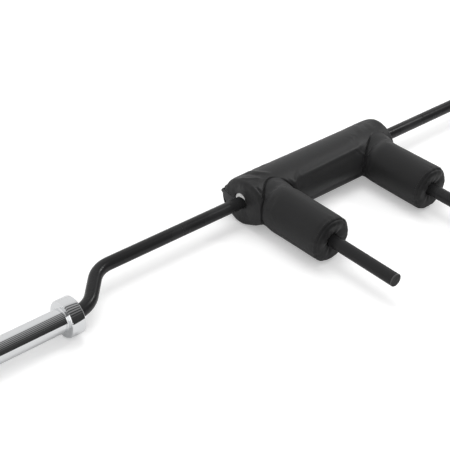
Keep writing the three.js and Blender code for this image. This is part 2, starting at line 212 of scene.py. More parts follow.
class Finish:
    """A node tree that is written as expressions."""

    def __init__(self, tree):
        self.tree = tree
        self.tree.nodes.clear()

    def node(self, kind, settings=None, sockets=None, output=0):
        made = self.tree.nodes.new(kind)
        for name, value in (settings or {}).items():
            if name == "stops":
                self.set_stops(made.color_ramp, value)
            else:
                setattr(made, name, value)
        for key, value in (sockets or {}).items():
            if isinstance(value, Wire):
                self.tree.links.new(value.socket, made.inputs[key])
            else:
                made.inputs[key].default_value = value
        return Wire(self, made.outputs[output]) if len(made.outputs) else made

    @staticmethod
    def set_stops(ramp, stops):
        while len(ramp.elements) < len(stops):
            ramp.elements.new(1)
        for element, (place, shade) in zip(ramp.elements, stops):
            element.position = place
            element.color = (*shade, 1) if len(shade) == 3 else shade

    def mix(self, factor, first, second):
        """Mixes two shaders."""
        return self.node("ShaderNodeMixShader", {}, {0: factor, 1: first, 2: second})

    def white(self, kind, strength):
        """A white Emission or Background shader."""
        return self.node(f"ShaderNode{kind}", {}, {"Color": (1, 1, 1, 1), "Strength": strength})

    def ray(self, kind):
        """1 where a ray of that kind looks."""
        return self.node("ShaderNodeLightPath", output=kind)

    def parts(self, vector):
        """The x, y and z of a vector."""
        made = self.node("ShaderNodeSeparateXYZ", {}, {"Vector": vector}).socket.node
        return [Wire(self, socket) for socket in made.outputs]

    def blend(self, factor, first, second):
        """Mixes two colours."""
        first, second = (v if isinstance(v, Wire) else (*v, 1) for v in (first, second))
        return self.node("ShaderNodeMix", {"data_type": "RGBA"}, {0: factor, 6: first, 7: second}, 2)

    def place(self):
        """The point on the piece in its own frame, which moves with the piece."""
        return self.node("ShaderNodeTexCoord", output="Object")

    def stretched(self, scale):
        return self.node("ShaderNodeMapping", {}, {"Vector": self.place(), "Scale": scale})

    def noise(self, scale, detail=2.0, roughness=0.5, vector=None):
        sockets = {"Scale": scale, "Detail": detail, "Roughness": roughness}
        sockets["Vector"] = vector or self.place()
        return self.node("ShaderNodeTexNoise", {}, sockets, "Fac")

    def cells(self, scale, feature="F1", output="Distance", vector=None):
        sockets = {"Scale": scale, "Vector": vector or self.place()}
        return self.node("ShaderNodeTexVoronoi", {"feature": feature}, sockets, output)

    def bump(self, height, distance, strength=1.0, normal=None):
        sockets = {"Height": height, "Distance": distance, "Strength": strength}
        if normal is not None:
            sockets["Normal"] = normal
        return self.node("ShaderNodeBump", {}, sockets)


def material(name, build):
    """A material whose build function returns the sockets of one Principled shader."""
    made = bpy.data.materials.new(name)
    made.use_nodes = True
    finish = Finish(made.node_tree)
    surface = finish.node("ShaderNodeBsdfPrincipled", {}, build(finish))
    finish.node("ShaderNodeOutputMaterial", {}, {"Surface": surface})
    return made


def shade(tone, factor):
    return tuple(c * factor for c in tone)


def gloss_paint(finish):
    """Powder coat: faint orange peel, and rubbed duller in places."""
    tone = bpy.context.scene.squatbar_bar.paint
    rubbed = finish.noise(9, 3).smooth(0.45, 0.75)
    peel = finish.noise(420, 2) * 0.8 + finish.noise(1500, 1) * 0.2
    return {
        "Base Color": finish.blend(rubbed, tone, shade(tone, 1.45)),
        "Roughness": finish.noise(60, 3) * 0.06 + rubbed * 0.05 + 0.23,
        "Normal": finish.bump(peel, 0.00035, 0.16),
        "Specular IOR Level": 0.2,
    }


def plug_plastic(finish):
    tone = bpy.context.scene.squatbar_bar.plug
    spark = finish.cells(1400)
    return {
        "Base Color": finish.blend(finish.noise(70, 2), shade(tone, 0.85), shade(tone, 1.2)),
        "Roughness": finish.noise(200, 2) * 0.12 + 0.42,
        "Normal": finish.bump(spark, 0.0002, 0.35),
    }


def chrome_plate(finish):
    """Polished plating over turned steel: fine turning lines and faint rub marks."""
    tone = bpy.context.scene.squatbar_sleeve.chrome
    turned_lines = finish.noise(1, 2, 0.6, finish.stretched((2600, 12, 12)))
    rubs = finish.noise(1, 3, 0.55, finish.stretched((14, 260, 260))).smooth(0.55, 0.8)
    return {
        "Base Color": finish.blend(rubs * 0.5, tone, shade(tone, 0.9)),
        "Metallic": 1.0,
        "Roughness": rubs * 0.05 + turned_lines * 0.03 + 0.045,
        "Normal": finish.bump(turned_lines, 0.00002, 0.25),
    }


def bush_bronze(finish):
    tone = bpy.context.scene.squatbar_sleeve.bronze
    pores = finish.cells(2200)
    return {
        "Base Color": finish.blend(finish.noise(180, 3), shade(tone, 0.75), shade(tone, 1.1)),
        "Metallic": 1.0,
        "Roughness": finish.noise(240, 2) * 0.2 + 0.28,
        "Normal": finish.bump(pores, 0.0001, 0.3),
    }


def ring_steel(finish):
    tone = bpy.context.scene.squatbar_sleeve.steel
    return {
        "Base Color": finish.blend(finish.noise(150, 3), shade(tone, 0.7), shade(tone, 1.1)),
        "Metallic": 1.0,
        "Roughness": finish.noise(400, 2) * 0.2 + 0.3,
        "Normal": finish.bump(finish.noise(900, 2), 0.00008, 0.3),
    }


def cover_vinyl(finish, dark=1.0):
    """Coated fabric: pebbled grain in two sizes, fine creases and a faint uneven sheen."""
    tone = bpy.context.scene.squatbar_pad.vinyl
    pebble = finish.cells(820, "SMOOTH_F1")
    fine = finish.cells(2100)
    soft = finish.noise(26, 4, 0.6)
    handled = finish.noise(7, 3).smooth(0.4, 0.75)
    grain = pebble * 0.7 + fine * 0.3
    shaded = finish.blend(soft, shade(tone, 0.82), shade(tone, 1.2))
    grained = finish.blend(grain.smooth(0.1, 0.6) * 0.35, shaded, shade(tone, 0.6))
    rough = soft * 0.12 + grain * 0.08 - handled * 0.05 + 0.42
    # Painted shade: a factor under 1 darkens the base colour towards black away from the main roll, over the
    # shoulder rolls.
    if dark < 1:
        reach = finish.parts(finish.place())[1] * -1.0
        along = reach.smooth(MAIN_RADIUS + 4 * MM, MAIN_RADIUS + 45 * MM)
        grained = finish.blend(along * (1 - dark), grained, (0, 0, 0))
        rough = rough + along * 0.06
    return {
        "Base Color": grained,
        "Roughness": rough,
        "Normal": finish.bump(
            grain, 0.00028, 0.45, finish.bump(finish.noise(95, 3, 0.55), 0.0011, 0.25)
        ),
        "Specular IOR Level": 0.35,
        "Sheen Weight": 0.05,
        "Sheen Roughness": 0.5,
    }


def painted_shade_roll_vinyl(finish):
    """The shoulder rolls' vinyl: a little darker away from their roots, as painted shade, and duller there.
    """
    return cover_vinyl(finish, 0.72)


def foam_cells(finish):
    tone = bpy.context.scene.squatbar_pad.foam
    cell = finish.cells(1300)
    return {
        "Base Color": finish.blend(cell.smooth(0.05, 0.6), tone, shade(tone, 0.82)),
        "Roughness": finish.noise(300, 2) * 0.1 + 0.85,
        "Normal": finish.bump(cell, 0.0005, 0.6),
    }


def tape_pile(finish):
    """Hook and loop tape: short dense pile."""
    tone = bpy.context.scene.squatbar_pad.tape
    pile = finish.cells(1700) + finish.noise(700, 3) * 0.5
    return {
        "Base Color": finish.blend(pile.smooth(0.1, 1), shade(tone, 0.6), shade(tone, 1.6)),
        "Roughness": finish.noise(500, 2) * 0.1 + 0.8,
        "Normal": finish.bump(pile, 0.0006, 0.8),
    }


def woven(finish, across):
    """The height of a plain weave whose warp runs across one axis."""
    wave = {"Scale": 1, "Distortion": 0.05, "Vector": finish.stretched((460, 460, 460))}
    warp = finish.node("ShaderNodeTexWave", {"bands_direction": across}, wave, "Fac")
    weft = finish.node("ShaderNodeTexWave", {"bands_direction": "Z"}, wave, "Fac")
    return warp.maths("MAXIMUM", warp, weft)


def flap_lining(finish):
    """Back of the flap: a plain woven backing."""
    tone = bpy.context.scene.squatbar_pad.lining
    weave = woven(finish, "X")
    return {
        "Base Color": finish.blend(weave, shade(tone, 0.7), shade(tone, 1.15)),
        "Roughness": finish.noise(160, 2) * 0.15 + 0.6,
        "Normal": finish.bump(weave, 0.0003, 0.5),
    }


def lip_lining(finish):
    """The lower lip of the rear opening: the woven backing up to its fold line, then vinyl, with a painted
    shadow along the slit under the upper edge.
    """
    _, back, z = finish.parts(finish.place())
    up = z - AXIS_HEIGHT
    turned = up.maths("ARCTAN2", up, back) * (180 / math.pi)
    vinyl = cover_vinyl(finish)
    tone = bpy.context.scene.squatbar_pad.lining
    weave = woven(finish, "Y")
    slant = turned - (back * back + up * up) ** 0.5 * SLIT_SLOPE
    # Painted shadow: a narrow band along the slit, where the upper edge laps over, goes nearly black.
    slit_painted_shadow = 1 - slant.maths("ABSOLUTE", slant - (SLIT_DEGREES - 1.4)).smooth(2.3, 3.6)
    lined = turned.smooth(-29.4, -28.4) * (1 - slant.smooth(4.0, 4.6))
    cloth = finish.blend(weave, shade(tone, 0.7), shade(tone, 1.15))
    cloth = finish.blend(slit_painted_shadow, cloth, shade(tone, 0.06))
    return {
        **vinyl,
        "Base Color": finish.blend(lined, vinyl["Base Color"], cloth),
        "Roughness": vinyl["Roughness"] + lined * 0.2,
        "Normal": finish.bump(weave * lined, 0.0003, 0.4, vinyl["Normal"]),
    }


def sewing_thread(finish):
    tone = bpy.context.scene.squatbar_pad.thread
    twist = finish.noise(2200, 2)
    return {
        "Base Color": finish.blend(twist, shade(tone, 0.7), shade(tone, 1.5)),
        "Roughness": twist * 0.15 + 0.4,
        "Normal": finish.bump(twist, 0.0002, 0.6),
    }


FINISHES = {
    build.__name__: build
    for build in (
        gloss_paint, plug_plastic, chrome_plate, bush_bronze, ring_steel, cover_vinyl,
        painted_shade_roll_vinyl, foam_cells, tape_pile, flap_lining, lip_lining, sewing_thread,
    )
}


def finish_named(name):
    """The material of that name, made the first time it is asked for."""
    return bpy.data.materials.get(name) or material(name, FINISHES[name])


# Meshes


def piece_from(name, points, faces, finish, sharp=None, closed=True):
    """A mesh object from points in metres, its faces turned outwards."""
    mesh = bpy.data.meshes.new(name)
    mesh.from_pydata([tuple(p) for p in points], [], faces)
    if closed:
        shell = bmesh.new()
        shell.from_mesh(mesh)
        bmesh.ops.recalc_face_normals(shell, faces=shell.faces)
        shell.to_mesh(mesh)
        shell.free()
    mesh.shade_smooth()
    if sharp is not None:
        mesh.set_sharp_from_angle(angle=math.radians(sharp))
    made = bpy.data.objects.new(name, mesh)
    bpy.context.scene.collection.objects.link(made)
    mesh.materials.append(finish_named(finish))
    return made


def skin(rows, wrap_rows=False, wrap_columns=True):
    """Points and faces of a surface through rows of points; a row of one point is a pole."""
    points = np.concatenate([np.asarray(row, float).reshape(-1, 3) for row in rows])
    starts = np.cumsum([0] + [len(np.asarray(row).reshape(-1, 3)) for row in rows])
    faces = []
    for i in range(len(rows) if wrap_rows else len(rows) - 1):
        j = (i + 1) % len(rows)
        first, second = starts[i], starts[j]
        size_i, size_j = starts[i + 1] - first, starts[j + 1] - second
        size = max(size_i, size_j)
        for k in range(size if wrap_columns else size - 1):
            n = (k + 1) % size
            if size_i == 1:
                faces.append((first, second + n, second + k))
            elif size_j == 1:
                faces.append((first + k, first + n, second))
            else:
                faces.append((first + k, first + n, second + n, second + k))
    return points, [tuple(int(v) for v in face) for face in faces]


def around(count):
    """Angles evenly spaced round a full turn."""
    return np.arange(count) * 2 * math.pi / count


def circle(centre, across, up, radius, sides):
    """A ring of points about a centre, in the plane of two unit vectors."""
    angles = around(sides)
    centre, across, up = (np.asarray(v, float) for v in (centre, across, up))
    if radius < 1e-7:
        return centre.reshape(1, 3)
    return centre + radius * (np.cos(angles)[:, None] * across + np.sin(angles)[:, None] * up)


def lathe_rows(profile, origin, heading, sides):
    """Rings for (distance, radius) points along a heading."""
    origin, heading = np.asarray(origin, float), np.asarray(heading, float)
    up = np.array([0.0, 0.0, 1.0])
    across = np.cross(up, heading)
    return [circle(origin + heading * d, across, up, r, sides) for d, r in profile]


def arc(centre_d, centre_r, radius, start, end, steps):
    """Points of an arc in a lathe profile, angles in degrees from the heading."""
    angles = np.radians(np.linspace(start, end, steps + 1))
    return [(centre_d + radius * math.cos(a), centre_r + radius * math.sin(a)) for a in angles]


def mirrored(profile):
    """A lathe profile and its mirror image about distance zero."""
    return profile + [(-distance, radius) for distance, radius in reversed(profile)]


def closed_line(ring):
    """A ring of points with its first point again at the end."""
    return np.vstack([ring, ring[:1]])


def turned_piece(name, profile, origin, heading, sides, finish, ring=False, sharp=32):
    """A mesh object turned about a heading; a ring's profile closes on itself."""
    rows = lathe_rows(profile, origin, heading, sides)
    return piece_from(name, *skin(rows, wrap_rows=ring), finish, sharp)


def place_on(piece, body, slot, *replaced):
    """Puts a piece on the body it rides on and hides the nodes it stands for; the slot is not used."""
    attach(piece, body)
    if replaced:
        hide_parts(*replaced)


def coordinates(mesh):
    flat = np.empty(len(mesh.vertices) * 3)
    mesh.vertices.foreach_get("co", flat)
    return flat.reshape(-1, 3)


def set_coordinates(mesh, points):
    mesh.vertices.foreach_set("co", np.ascontiguousarray(points).ravel())
    mesh.update()


def vertex_normals(mesh):
    flat = np.empty(len(mesh.vertices) * 3, np.float32)
    mesh.vertex_normals.foreach_get("vector", flat)
    return flat.reshape(-1, 3).astype(float)


def bake_modifiers(piece):
    """Replaces the piece's mesh by what its modifiers make of it."""
    bpy.context.view_layer.update()
    graph = bpy.context.evaluated_depsgraph_get()
    made = bpy.data.meshes.new_from_object(piece.evaluated_get(graph))
    piece.modifiers.clear()
    piece.data = made
    return piece


def relax(mesh, share, rounds):
    """Moves each point towards its neighbours' middle by its own share."""
    edges = np.empty(len(mesh.edges) * 2, np.int32)
    mesh.edges.foreach_get("vertices", edges)
    first, second = edges.reshape(-1, 2).T
    points = coordinates(mesh)
    count = np.bincount(np.concatenate([first, second]), minlength=len(points))[:, None]
    for _ in range(rounds):
        total = np.zeros_like(points)
        for axis in range(3):
            total[:, axis] = np.bincount(first, points[second, axis], len(points))
            total[:, axis] += np.bincount(second, points[first, axis], len(points))
        points += share[:, None] * (total / np.maximum(count, 1) - points)
    set_coordinates(mesh, points)


def step(values, low, high):
    """A smooth step from 0 at low to 1 at high."""
    share = np.clip((np.asarray(values, float) - low) / (high - low), 0, 1)
    return share * share * (3 - 2 * share)


def nearest_on(line, points):
    """Distance from each point to a line of points, and how far along it is, from 0 to 1."""
    tree = kdtree.KDTree(len(line))
    for i, place in enumerate(line):
        tree.insert(place, i)
    tree.balance()
    found = [tree.find(p) for p in points]
    return np.array([f[2] for f in found]), np.array([f[1] for f in found]) / max(len(line) - 1, 1)


def smooth_line(corners, count):
    """A smooth line through a few points (Catmull-Rom)."""
    corners = np.asarray(corners, float)
    padded = np.vstack([2 * corners[0] - corners[1], corners, 2 * corners[-1] - corners[-2]])
    out = []
    for t in np.linspace(0, len(corners) - 1, count):
        i = min(int(t), len(corners) - 2)
        u = t - i
        a, b, c, d = padded[i : i + 4]
        bent = (2 * a - 5 * b + 4 * c - d) * u**2 + (3 * b - a - 3 * c + d) * u**3
        out.append(0.5 * (2 * b + (c - a) * u + bent))
    return np.array(out)


# Bar and handles


class CrankedLine:
    """The bar's centre line by distance from mid-bar: straight, bend, crank, bend, straight."""

    def __init__(self, sizes):
        self.along = np.array([1.0, 0.0, 0.0])
        offset = np.array([0.0, SLEEVE_Y, SLEEVE_Z - AXIS_HEIGHT])
        sink = np.linalg.norm(offset)
        self.sideways = offset / sink
        self.angle = sizes.crank_turn
        self.bend = sizes.bend
        setback = self.bend * math.tan(self.angle / 2)
        bend_length = self.bend * self.angle
        self.leg = sink / math.sin(self.angle) - 2 * setback
        self.starts = np.cumsum([sizes.crank_start - setback, bend_length, self.leg, bend_length])

    def at(self, distance):
        """Point and direction at a distance from mid-bar, on the +X half."""
        straight, bent, legged, unbent = self.starts
        cos, sin = math.cos(self.angle), math.sin(self.angle)
        leg_way = self.along * cos + self.sideways * sin
        turned = min(max(distance - straight, 0) / self.bend, self.angle)
        point = np.array([0.0, 0.0, AXIS_HEIGHT])
        point = point + self.along * (min(distance, straight) + self.bend * math.sin(turned))
        point = point + self.sideways * self.bend * (1 - math.cos(turned))
        point = point + leg_way * min(max(distance - bent, 0), self.leg)
        way = self.along * math.cos(turned) + self.sideways * math.sin(turned)
        back = min(max(distance - legged, 0) / self.bend, self.angle)
        if back > 0:
            normal = self.along * sin - self.sideways * cos
            point = point + leg_way * self.bend * math.sin(back)
            point = point + normal * self.bend * (1 - math.cos(back))
            way = leg_way * math.cos(back) + normal * math.sin(back)
        return point + self.along * max(distance - unbent, 0), way

    def distance_of(self, x):
        """Distance along the line of a point beyond the crank, by its X."""
        return self.starts[3] + x - self.at(self.starts[3])[0][0]


class SQUATBAR_OT_shaft(bpy.types.Operator):
    """Build the cranked bar with its ring marks and journals"""

    bl_idname = "squatbar.shaft"
    bl_label = "Cranked bar"

    def execute(self, context):
        sizes = context.scene.squatbar_bar
        line = CrankedLine(sizes)
        stations = self.stations(sizes, line)
        normal = np.cross(line.along, line.sideways)
        rows = []
        for distance, radius in stations[:0:-1]:
            point, way = line.at(distance)
            across = np.cross(way * (1, -1, -1), normal)
            rows.append(circle(point * (-1, 1, 1), normal, across, radius, BAR_SIDES))
        for distance, radius in stations:
            point, way = line.at(distance)
            rows.append(circle(point, normal, np.cross(way, normal), radius, BAR_SIDES))
        bar = piece_from("bar_shaft", *skin(rows), "gloss_paint", METAL_CORNER)
        place_on(bar, "bar", "black_paint", "shaft")
        return {"FINISHED"}

    @staticmethod
    def stations(sizes, line):
        """The bar's radius by distance from mid-bar to its left end."""
        radius, journal = sizes.shaft / 2, sizes.journal / 2
        mark, half, depth = sizes.mark_place, sizes.mark_width / 2, sizes.mark_depth
        brink = 1.5 * depth
        made = [(0, radius)]
        made += [(distance, radius) for distance in np.arange(60, 370, 62) * MM]
        made += [(mark - half - brink, radius), (mark - half - depth, radius)]
        made += [(mark - half, radius - depth), (mark + half, radius - depth)]
        made += [(mark + half + depth, radius), (mark + half + brink, radius)]
        for first, last in (line.starts[:2], line.starts[2:]):
            made += [(distance, radius) for distance in np.linspace(first, last, 20)]
        shoulder, end = 736 * MM, SHAFT_HIGH.x
        shoulder_chamfer, tip_chamfer = 1 * MM, 1.5 * MM
        groove, groove_depth = end - 6.3 * MM, 1 * MM
        groove_end = groove + 2.6 * MM
        turned = [
            (shoulder - shoulder_chamfer, radius),
            (shoulder, radius - shoulder_chamfer),
            (shoulder, journal),
            (groove, journal),
            (groove, journal - groove_depth),
            (groove_end, journal - groove_depth),
            (groove_end, journal),
            (end - tip_chamfer, journal),
            (end, journal - tip_chamfer),
            (end, 0),
        ]
        return made + [(line.distance_of(x), size) for x, size in turned]


class SQUATBAR_OT_handles(bpy.types.Operator):
    """Build both handles, coped and welded to the bar, with their end plugs"""

    bl_idname = "squatbar.handles"
    bl_label = "Handles"

    def execute(self, context):
        sizes = context.scene.squatbar_bar
        profile = self.plug_profile(sizes)
        for word, side in SIDES.items():
            centre = np.array([side * HANDLE_X, 0, AXIS_HEIGHT])
            surface = skin(self.tube_rows(sizes, centre), wrap_rows=True)
            handle = piece_from(f"handle_tube_{word}", *surface, "gloss_paint", METAL_CORNER)
            place_on(handle, "bar", "black_paint", f"handle_{word}")
            name, way = f"handle_cap_{word}", (0, -1, 0)
            plug = turned_piece(name, profile, centre, way, HANDLE_SIDES, "plug_plastic")
            place_on(plug, "bar", "plug_plastic", f"handle_plug_{word}")
        return {"FINISHED"}

    @staticmethod
    def tube_rows(sizes, centre):
        """Rings from the coped root over the weld bead to the front edge, and back inside."""
        outer = sizes.handle / 2
        inner = outer - HANDLE_WALL
        clearance, least_reach = sizes.shaft / 2 + FIT, 0.6 * sizes.shaft / 2
        front = -HANDLE_LOW.y
        angles = around(HANDLE_SIDES)

        def coped(radius):
            """How far from the bar's axis a ring of the tube meets the bar."""
            height = radius * np.sin(angles)
            return np.sqrt(np.maximum(clearance**2 - height**2, least_reach**2))

        def ring(radius, reach):
            reach = np.broadcast_to(reach, angles.shape)
            return centre + np.stack([radius * np.cos(angles), -reach, radius * np.sin(angles)], 1)

        ripple = 0.35 * MM * np.cos(angles * 26)
        outer_edge, inner_edge = 0.4 * MM, 0.3 * MM
        rows = [ring(inner, coped(inner)), ring(outer, coped(outer))]
        for proud, lift, rippled in ((2.4, 0.6, 1), (2.6, 3.2, 1), (1.2, 5.6, 0), (0, 7, 0)):
            rows.append(ring(outer + proud * MM + ripple * rippled, coped(outer) + lift * MM))
        rows += [ring(outer, reach) for reach in np.linspace(40 * MM, front - outer_edge, 9)]
        rows += [ring(outer - outer_edge, front), ring(inner + inner_edge, front)]
        return rows + [ring(inner, front - inner_edge)]

    @staticmethod
    def plug_profile(sizes):
        """A ribbed stem, a rounded flange and a shallow dish with the moulding's pip."""
        outer = sizes.handle / 2
        stem = outer - HANDLE_WALL - FIT
        root, tip = -PLUG_HIGH.y, -PLUG_LOW.y
        flange, edge, lead_in = 4 * MM, 2.2 * MM, 1 * MM
        rib_width, rib_height, rib_pitch, first_rib = 1.2 * MM, 0.25 * MM, 3.4 * MM, 3 * MM
        dish, pip, pip_radius, pip_slope = 0.35 * MM, 0.1 * MM, 1.6 * MM, 0.6 * MM
        rim_share, dish_share = 0.62, 0.57
        profile = [(root, 0), (root, stem - lead_in), (root + lead_in, stem)]
        for rib in np.arange(3) * rib_pitch + first_rib + root:
            profile += [(rib, stem), (rib + rib_width / 2, stem + rib_height), (rib + rib_width, stem)]
        profile += [(tip - flange, stem), (tip - flange, outer)]
        profile += arc(tip - edge, outer - edge, edge, 90, 0, 8)
        profile += [(tip, outer * rim_share), (tip - dish, outer * dish_share)]
        profile += [(tip - dish, pip_radius + pip_slope), (tip - pip, pip_radius)]
        return profile + [(tip - pip, 0)]


# Sleeves


class SQUATBAR_OT_sleeves(bpy.types.Operator):
    """Build both chromed sleeves with their caps and rings, and finish the bearings inside"""

    bl_idname = "squatbar.sleeves"
    bl_label = "Sleeves"

    def execute(self, context):
        sizes = context.scene.squatbar_sleeve
        cap_radius = (CAP_HIGH.z - CAP_LOW.z) / 2
        seat_radius = cap_radius + FIT
        tube_profile = self.tube_profile(sizes, seat_radius)
        cap_profile = self.cap_profile(cap_radius)
        for word, side in SIDES.items():
            origin = np.array([side * SLEEVE_LOW.x, SLEEVE_Y, SLEEVE_Z])
            way, body = (side, 0, 0), f"sleeve_{word}"
            name = f"plate_sleeve_{word}"
            tube = turned_piece(name, tube_profile, origin, way, 128, "chrome_plate", True, 28)
            place_on(tube, body, "chrome", f"sleeve_{word}")
            cap = turned_piece(f"sleeve_cap_{word}", cap_profile, origin, way, 96, "chrome_plate")
            place_on(cap, body, "chrome", f"end_cap_{word}")
            ring = self.snap_ring(f"snap_ring_{word}", side, origin, seat_radius)
            place_on(ring, body, "spring_steel", f"cap_ring_{word}")
            hidden = {
                "bush_bronze": (f"inner_bush_{word}", f"outer_bush_{word}"),
                "ring_steel": (f"thrust_washer_{word}", f"circlip_{word}"),
            }
            for finish, nodes in hidden.items():
                for node in nodes:
                    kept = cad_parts[node]
                    kept.data.materials.clear()
                    kept.data.materials.append(finish_named(finish))
        return {"FINISHED"}

    @staticmethod
    def tube_profile(sizes, seat_radius):
        """The collar, the sleeve and its bore, by distance from the collar's back face."""
        sleeve, bore, collar = sizes.sleeve / 2, sizes.bore / 2, (SLEEVE_HIGH.z - SLEEVE_LOW.z) / 2
        width, fillet, total = sizes.collar_width, sizes.fillet, SLEEVE_HIGH.x - SLEEVE_LOW.x
        ease, dip, mouth = 0.4 * MM, 0.12 * MM, 1 * MM
        back, rim, rim_width = sizes.back_chamfer, sizes.rim_chamfer, sizes.rim_width
        profile = [(0, bore + mouth), (0, collar - back - ease), (dip, collar - back)]
        profile += [(back, collar - dip), (back + ease, collar)]
        profile += [(width - rim_width - ease, collar), (width - rim_width, collar - dip)]
        profile += [(width - dip, collar - rim), (width, collar - rim - ease)]
        profile += arc(width + fillet, sleeve + fillet, fillet, 180, 270, 10)
        tip_chamfer, seat_chamfer, groove_depth = 2 * MM, 0.5 * MM, 1 * MM
        tip_ease, tip_drop = 0.1 * MM, 1.7 * MM
        profile += [(total - tip_chamfer, sleeve), (total - tip_ease, sleeve - tip_drop)]
        profile += [(total, sleeve - tip_chamfer)]
        profile += [(total, seat_radius + seat_chamfer), (total - seat_chamfer, seat_radius)]
        groove_from = CAP_RING_LOW.x - FIT - SLEEVE_LOW.x
        groove_to = CAP_RING_HIGH.x + FIT - SLEEVE_LOW.x
        seat = CAP_LOW.x - FIT - SLEEVE_LOW.x
        profile += [(groove_to, seat_radius), (groove_to, seat_radius + groove_depth)]
        profile += [(groove_from, seat_radius + groove_depth), (groove_from, seat_radius)]
        return profile + [(seat, seat_radius), (seat, bore), (mouth, bore)]

    @staticmethod
    def cap_profile(radius):
        """The disc that closes the sleeve: a chamfered edge, a shallow dish and a centre dimple."""
        inside, face = CAP_LOW.x - SLEEVE_LOW.x, CAP_HIGH.x - SLEEVE_LOW.x
        chamfer, dish, dish_radius, dish_slope = 0.8 * MM, 0.4 * MM, 9 * MM, 0.6 * MM
        dimple, dimple_radius, dimple_slope = 1.6 * MM, 3 * MM, 1.2 * MM
        disc = [(inside, 0), (inside, radius), (face - chamfer, radius), (face, radius - chamfer)]
        disc += [(face, dish_radius), (face - dish, dish_radius - dish_slope)]
        disc += [(face - dish, dimple_radius), (face - dimple, dimple_radius - dimple_slope)]
        return disc + [(face - dimple, 0)]

    @staticmethod
    def snap_ring(name, side, origin, seat_radius):
        """An internal retaining ring: round ends with an eyelet each side of its gap."""
        grip, width, eyelet_width, tip_share = 0.7 * MM, 2.4 * MM, 2.6 * MM, 0.7
        outer = seat_radius + grip
        thick = CAP_RING_HIGH.x - CAP_RING_LOW.x
        middle = (CAP_RING_LOW.x + CAP_RING_HIGH.x) / 2 - SLEEVE_LOW.x
        gap, eyelet_place, eyelet_spread, tip = math.radians(25), 0.1, 0.11, 0.03
        rows = []
        for angle in np.linspace(gap, 2 * math.pi - gap, 84):
            from_end = min(angle - gap, 2 * math.pi - gap - angle)
            eyelet = math.exp(-((from_end - eyelet_place) / eyelet_spread) ** 2)
            band = (width + eyelet_width * eyelet) * (tip_share if from_end < tip else 1)
            spoke = np.array([0, math.cos(angle), math.sin(angle)])
            low, high = (
                origin + np.array([side * (middle + level * thick / 2), 0, 0]) for level in (-1, 1)
            )
            inner = outer - band
            corners = [low + spoke * outer, low + spoke * inner, high + spoke * inner, high + spoke * outer]
            rows.append(np.array(corners))
        points, faces = skin(rows)
        last = len(points) - 4
        faces += [(0, 1, 2, 3), (last + 3, last + 2, last + 1, last)]
        return piece_from(name, points, faces, "ring_steel", 40)


# Pad

# The roots of the shoulder rolls, about each handle's axis: half width outside, half height below
# and half width inside at the lowest point.
ROOT_OUTER, ROOT_LOWER, ROOT_INNER_LOW = 53 * MM, 53.8 * MM, 52.5 * MM
# By side: half width inside, half height over the inner and the outer half, and lean to the left.
ROOTS = {
    -1: (55.5 * MM, 54.5 * MM, 50.5 * MM, 5.5 * MM),
    1: (43 * MM, 51.5 * MM, 51.5 * MM, 24 * MM),
}
# How far in front of the main roll each shoulder roll is round and upright again.
ROOT_SWELL = {-1: 16 * MM, 1: 28 * MM}
# How much further forward the main roll reaches beside the shoulder rolls.
FRONT_SWELL_SHARE = 0.125
# Which way the cover's hole sits off the bar's axis: shares back and up.
HOLE_WAY_SHARES = (0.669, 0.743)
# The hole for the bar is further out than this, and so is the front of each shoulder roll.
END_ZONE = 200 * MM
# How far the lower lip of the rear opening lies inside the end face, and the upper edge laps over.
LIP_RECESS, LIP_LAP = 2.6 * MM, 1.6 * MM
# The lower lip's edge by angle round the bar, and how far it flares out there in millimetres.
LIP_ANGLES = (-30, -25, -18, -13, -9, -6, -3, 1, 4.5, 6.5, 8)
LIP_FLARES = (0, 1.5, 7, 11, 10, 12, 18, 14.5, 13, 6, 0)
# The closest that the cover comes to the middle of the bar and of a handle.
BAR_CLEAR, HANDLE_CLEAR = 15 * MM, 15.6 * MM
# The larger folds: points along the bar in millimetres and round it in degrees, height and width.
FOLDS = [
    ([(-128, 140), (-60, 139), (10, 138), (75, 136), (118, 134), (142, 129)], 2.1, 7),
    ([(-110, 164), (-20, 165), (60, 165), (122, 163)], -1.0, 11),
    ([(-172, 44), (-171, 62), (-168, 80), (-158, 94), (-140, 106)], 2.2, 5.5),
    ([(-193, 50), (-186, 68), (-179, 84), (-170, 98)], -1.9, 4.6),
    ([(-217, 66), (-206, 86), (-190, 97), (-176, 108)], 2.2, 4.8),
    ([(-216, 104), (-215, 122), (-213, 140), (-211, 156), (-210, 170)], 2.8, 3.8),
    ([(-207, 118), (-205, 132), (-203, 148), (-203, 165)], -2.0, 3.0),
    ([(172, 50), (170, 70), (162, 90), (150, 104)], 0.9, 7),
    ([(196, 60), (188, 82), (180, 100)], -0.7, 6),
    ([(205, 78), (196, 96), (184, 110)], 0.7, 6),
    ([(222, 66), (224, 82), (225, 98), (225, 114)], 1.2, 7),
    ([(206, 74), (204, 92), (206, 108)], -0.5, 5.5),
]


def around_bar(x, degrees, radius=MAIN_RADIUS):
    """A point on the main roll: distance along the bar, and angle from the back over the top."""
    angle = math.radians(degrees)
    return np.array([x, radius * math.cos(angle), AXIS_HEIGHT + radius * math.sin(angle)])


def about_axis(points):
    """Angle round the bar in degrees, from the back over the top, and distance from its axis."""
    height = points[:, 2] - AXIS_HEIGHT
    return np.degrees(np.arctan2(height, points[:, 1])), np.hypot(points[:, 1], height)


def hole_shift(sizes):
    """How far back and up the cover's hole for the bar sits off the bar's axis."""
    return sizes.shaft_hole_rise * np.array(HOLE_WAY_SHARES)


def about_shaft_hole(points, sizes):
    """Distance from the middle of the cover's hole for the bar."""
    back, up = hole_shift(sizes)
    return np.hypot(points[:, 1] - back, points[:, 2] - AXIS_HEIGHT - up)


